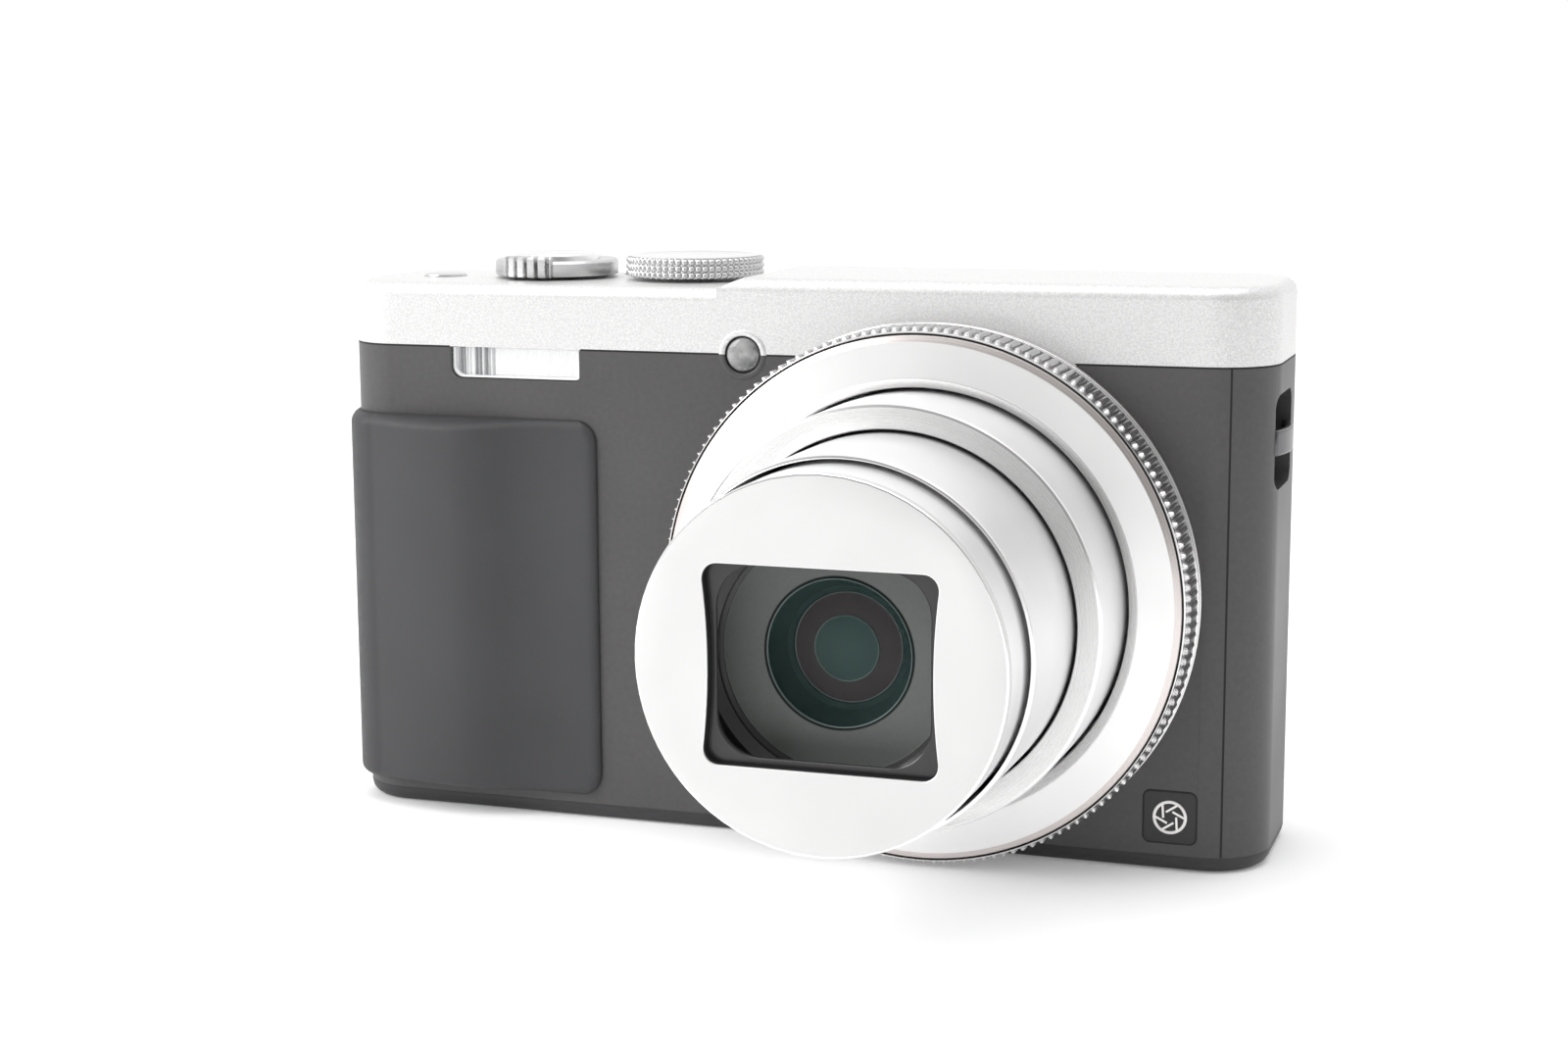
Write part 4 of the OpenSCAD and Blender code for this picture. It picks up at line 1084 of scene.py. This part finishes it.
def ribbed_lever():
    """Lever ring with a raised front tab that carries upright ridges."""
    ring_top = lever_z + 1.9
    tab_top = lever_high.z
    profile = [(5.2, lever_z + 0.1), (LEVER_R - 0.25, lever_z), (LEVER_R - 0.05, lever_z + 0.12),
               (LEVER_R, lever_z + 0.5), (LEVER_R, ring_top - 0.28), (LEVER_R - 0.25, ring_top), (6.1, ring_top),
               (5.95, ring_top), (5.4, ring_top), (5.2, ring_top - 0.15)]
    span = 24.0

    def shape(a, i, r, h):
        off = math.degrees((a + math.pi / 2 + math.radians(4) + math.pi) % TAU - math.pi)
        k = max(0.0, min(1.0, (span - abs(off)) / 2.0))
        if k > 0 and 1 <= i <= 6:
            ridge = (off / span * 2.5 + 0.5) % 1.0
            notch = 0.55 * max(0.0, 1 - abs(2 * ridge - 1) / 0.4) if abs(off) < span - 3 else 0.0
            if i <= 5:
                r += k * (0.78 - notch * 1.3)
            if i in (4, 5, 6):
                h += k * (tab_top - ring_top - notch * (1.0 if i != 6 else 0.8))
        return r, h

    return lathe("lever_zoom", profile, ["lever_grey"], 720, (LEVER_X, LEVER_Y, 0), "Z", None, shape, 34)


own(ribbed_lever(), "zoom_lever", "dial_grey", "zoom_lever")
own(lathe("button_shutter", [
    (0.0, lever_z + 0.2), (BUTTON_R - 0.1, lever_z + 0.2), (BUTTON_R, button_high.z - 0.55),
    (BUTTON_R - 0.1, button_high.z - 0.3), (BUTTON_R - 0.35, button_high.z - 0.1),
    (BUTTON_R - 0.8, button_high.z), (BUTTON_R - 1.4, button_high.z - 0.02),
    (2.0, button_high.z - 0.16), (0.0, button_high.z - 0.2)], ["shutter_silver"], 192,
    (LEVER_X, LEVER_Y, 0), "Z", sharp=26), "shutter_button", "dial_grey", "shutter_button")


# ---- back controls

CUR_R, cursor_low, cursor_high = disc_mm("cursor_dial")
CUR_X, _, CUR_Z = middle_mm("cursor_dial")


def cursor_ring():
    """Rear dial: knurled wall, soft shoulder and a shallow dish towards the middle button."""
    out, base = cursor_high.y, cursor_low.y + 0.5
    profile = [(5.15, base), (CUR_R - 0.3, base), (CUR_R, base + 0.2), (CUR_R, out - 0.45), (CUR_R - 0.22, out - 0.12),
               (CUR_R - 0.6, out), (CUR_R - 1.6, out - 0.12), (6.2, out - 0.2), (5.5, out - 0.05), (5.2, out - 0.15)]

    def shape(a, i, r, h):
        if 1 <= i <= 5:
            phase = abs(2 * ((a / TAU * 60) % 1.0) - 1)
            r -= 0.22 * (1 - phase ** 2) * (1.0 if i < 5 else 0.3)
        return r, h

    return lathe("dial_cursor", profile, ["key_black"], 480, (CUR_X, 0, CUR_Z), "Y", None, shape, 50)


own(cursor_ring(), "cursor_dial", "key_black", "cursor_dial")


def flat_sign(name, node, points):
    """Small plain printed sign on a key's face, points in millimetres from the key's middle."""
    key = middle_mm(node)
    y = box_mm(node)[1].y + PROUD
    verts = [(key.x - x, at, key.z + z) for at in (y, y - 0.05) for x, z in points]
    n = len(points)
    faces = [tuple(range(n))] + [(i, (i + 1) % n, n + (i + 1) % n, n + i) for i in range(n)]
    return own(add_mesh(name, verts, faces, "mark_grey"), node, "top_silver")


flat_sign("sign_play", "playback_button", [(-0.6, -0.8), (0.9, 0.0), (-0.6, 0.8)])
flat_sign("sign_show", "display_button", [(-0.9, -0.6), (0.9, -0.6), (0.9, 0.6), (-0.9, 0.6)])
flat_sign("sign_bin", "delete_button", [(-0.5, -0.8), (0.5, -0.8), (0.7, 0.6), (-0.7, 0.6)])


# ---- floor, lights and camera

FLOOR_GLOW = 0.14


def add_stage():
    bpy.ops.mesh.primitive_grid_add(x_subdivisions=8, y_subdivisions=8, size=8.0, location=(0, 0, 0))
    floor = bpy.context.object
    floor.name = "floor"
    g = Graph("floor_paper")
    tone = g.noise(6.0, 2.0)
    g.to("Base Color", g.ramp(tone, [(0.3, (0.93, 0.93, 0.935)), (0.7, (0.95, 0.95, 0.95))]))
    g.to("Roughness", g.remap(tone, 0.75, 0.85))
    g.set(Emission_Color=(1, 1, 1, 1), Emission_Strength=FLOOR_GLOW)
    floor.data.materials.append(g.mat)
    return floor


floor = add_stage()


def area_light(name, place, aim, size, size_y, power, colour=(1, 1, 1)):
    data = bpy.data.lights.new(name, "AREA")
    data.shape = "RECTANGLE"
    data.size, data.size_y = size, size_y
    data.energy = power
    data.color = colour
    made = bpy.data.objects.new(name, data)
    made.location = place
    made.rotation_euler = (Vector(aim) - Vector(place)).to_track_quat("-Z", "Y").to_euler()
    bpy.context.scene.collection.objects.link(made)
    return made


target = (0.0, -0.02, 0.03)
area_light("light_left", (-0.75, -0.55, 0.55), target, 0.6, 0.6, 5.8)
area_light("light_top", (0.05, -0.15, 0.95), target, 0.9, 0.7, 3.0)

world = bpy.data.worlds.new("studio")
bpy.context.scene.world = world
world.use_nodes = True
tree = world.node_tree
tree.nodes.clear()
out = tree.nodes.new("ShaderNodeOutputWorld")
back = tree.nodes.new("ShaderNodeBackground")
back.inputs["Color"].default_value = (1, 1, 1, 1)
coord = tree.nodes.new("ShaderNodeTexCoord")


def sky_share(direction, low, high, at_low, at_high):
    """Strength that changes with the direction of the sky, from at_low to at_high."""
    dot = tree.nodes.new("ShaderNodeVectorMath")
    dot.operation = "DOT_PRODUCT"
    dot.inputs[1].default_value = Vector(direction).normalized()
    tree.links.new(coord.outputs["Generated"], dot.inputs[0])
    share = tree.nodes.new("ShaderNodeMapRange")
    share.interpolation_type = "SMOOTHSTEP"
    for socket, value in (("From Min", low), ("From Max", high), ("To Min", at_low), ("To Max", at_high)):
        share.inputs[socket].default_value = value
    tree.links.new(dot.outputs["Value"], share.inputs["Value"])
    return share.outputs["Result"]


front_share = sky_share((0.1, -1.0, 0.05), 0.25, 0.95, 1.1, 0.4)
right_share = sky_share((1.0, -0.45, 0.0), 0.3, 0.95, 1.0, 0.7)
both = tree.nodes.new("ShaderNodeMath")
both.operation = "MULTIPLY"
tree.links.new(front_share, both.inputs[0])
tree.links.new(right_share, both.inputs[1])
tree.links.new(both.outputs["Value"], back.inputs["Strength"])
tree.links.new(back.outputs["Background"], out.inputs["Surface"])

CAM_PLACE = (0.0932, -0.2829, 0.0846)
CAM_AZ, CAM_EL, CAM_ROLL = math.radians(18.83), math.radians(9.38), math.radians(-0.30)
back_dir = Vector((math.sin(CAM_AZ) * math.cos(CAM_EL), -math.cos(CAM_AZ) * math.cos(CAM_EL), math.sin(CAM_EL)))
right_dir = Vector((math.cos(CAM_AZ), math.sin(CAM_AZ), 0))
up_dir = back_dir.cross(right_dir)
rolled_right = right_dir * math.cos(CAM_ROLL) + up_dir * math.sin(CAM_ROLL)
rolled_up = up_dir * math.cos(CAM_ROLL) - right_dir * math.sin(CAM_ROLL)
camera_data = bpy.data.cameras.new("camera")
camera_data.sensor_width = 36.0
camera_data.lens = 58.78
camera_data.shift_x = -0.0004
camera_data.shift_y = -0.003
camera_data.clip_start = 0.01
camera = bpy.data.objects.new("camera", camera_data)
camera.matrix_world = Matrix((
    (rolled_right.x, rolled_up.x, back_dir.x, CAM_PLACE[0]),
    (rolled_right.y, rolled_up.y, back_dir.y, CAM_PLACE[1]),
    (rolled_right.z, rolled_up.z, back_dir.z, CAM_PLACE[2]),
    (0, 0, 0, 1)))
bpy.context.scene.collection.objects.link(camera)
bpy.context.scene.camera = camera
bpy.context.scene.view_settings.view_transform = "Standard"
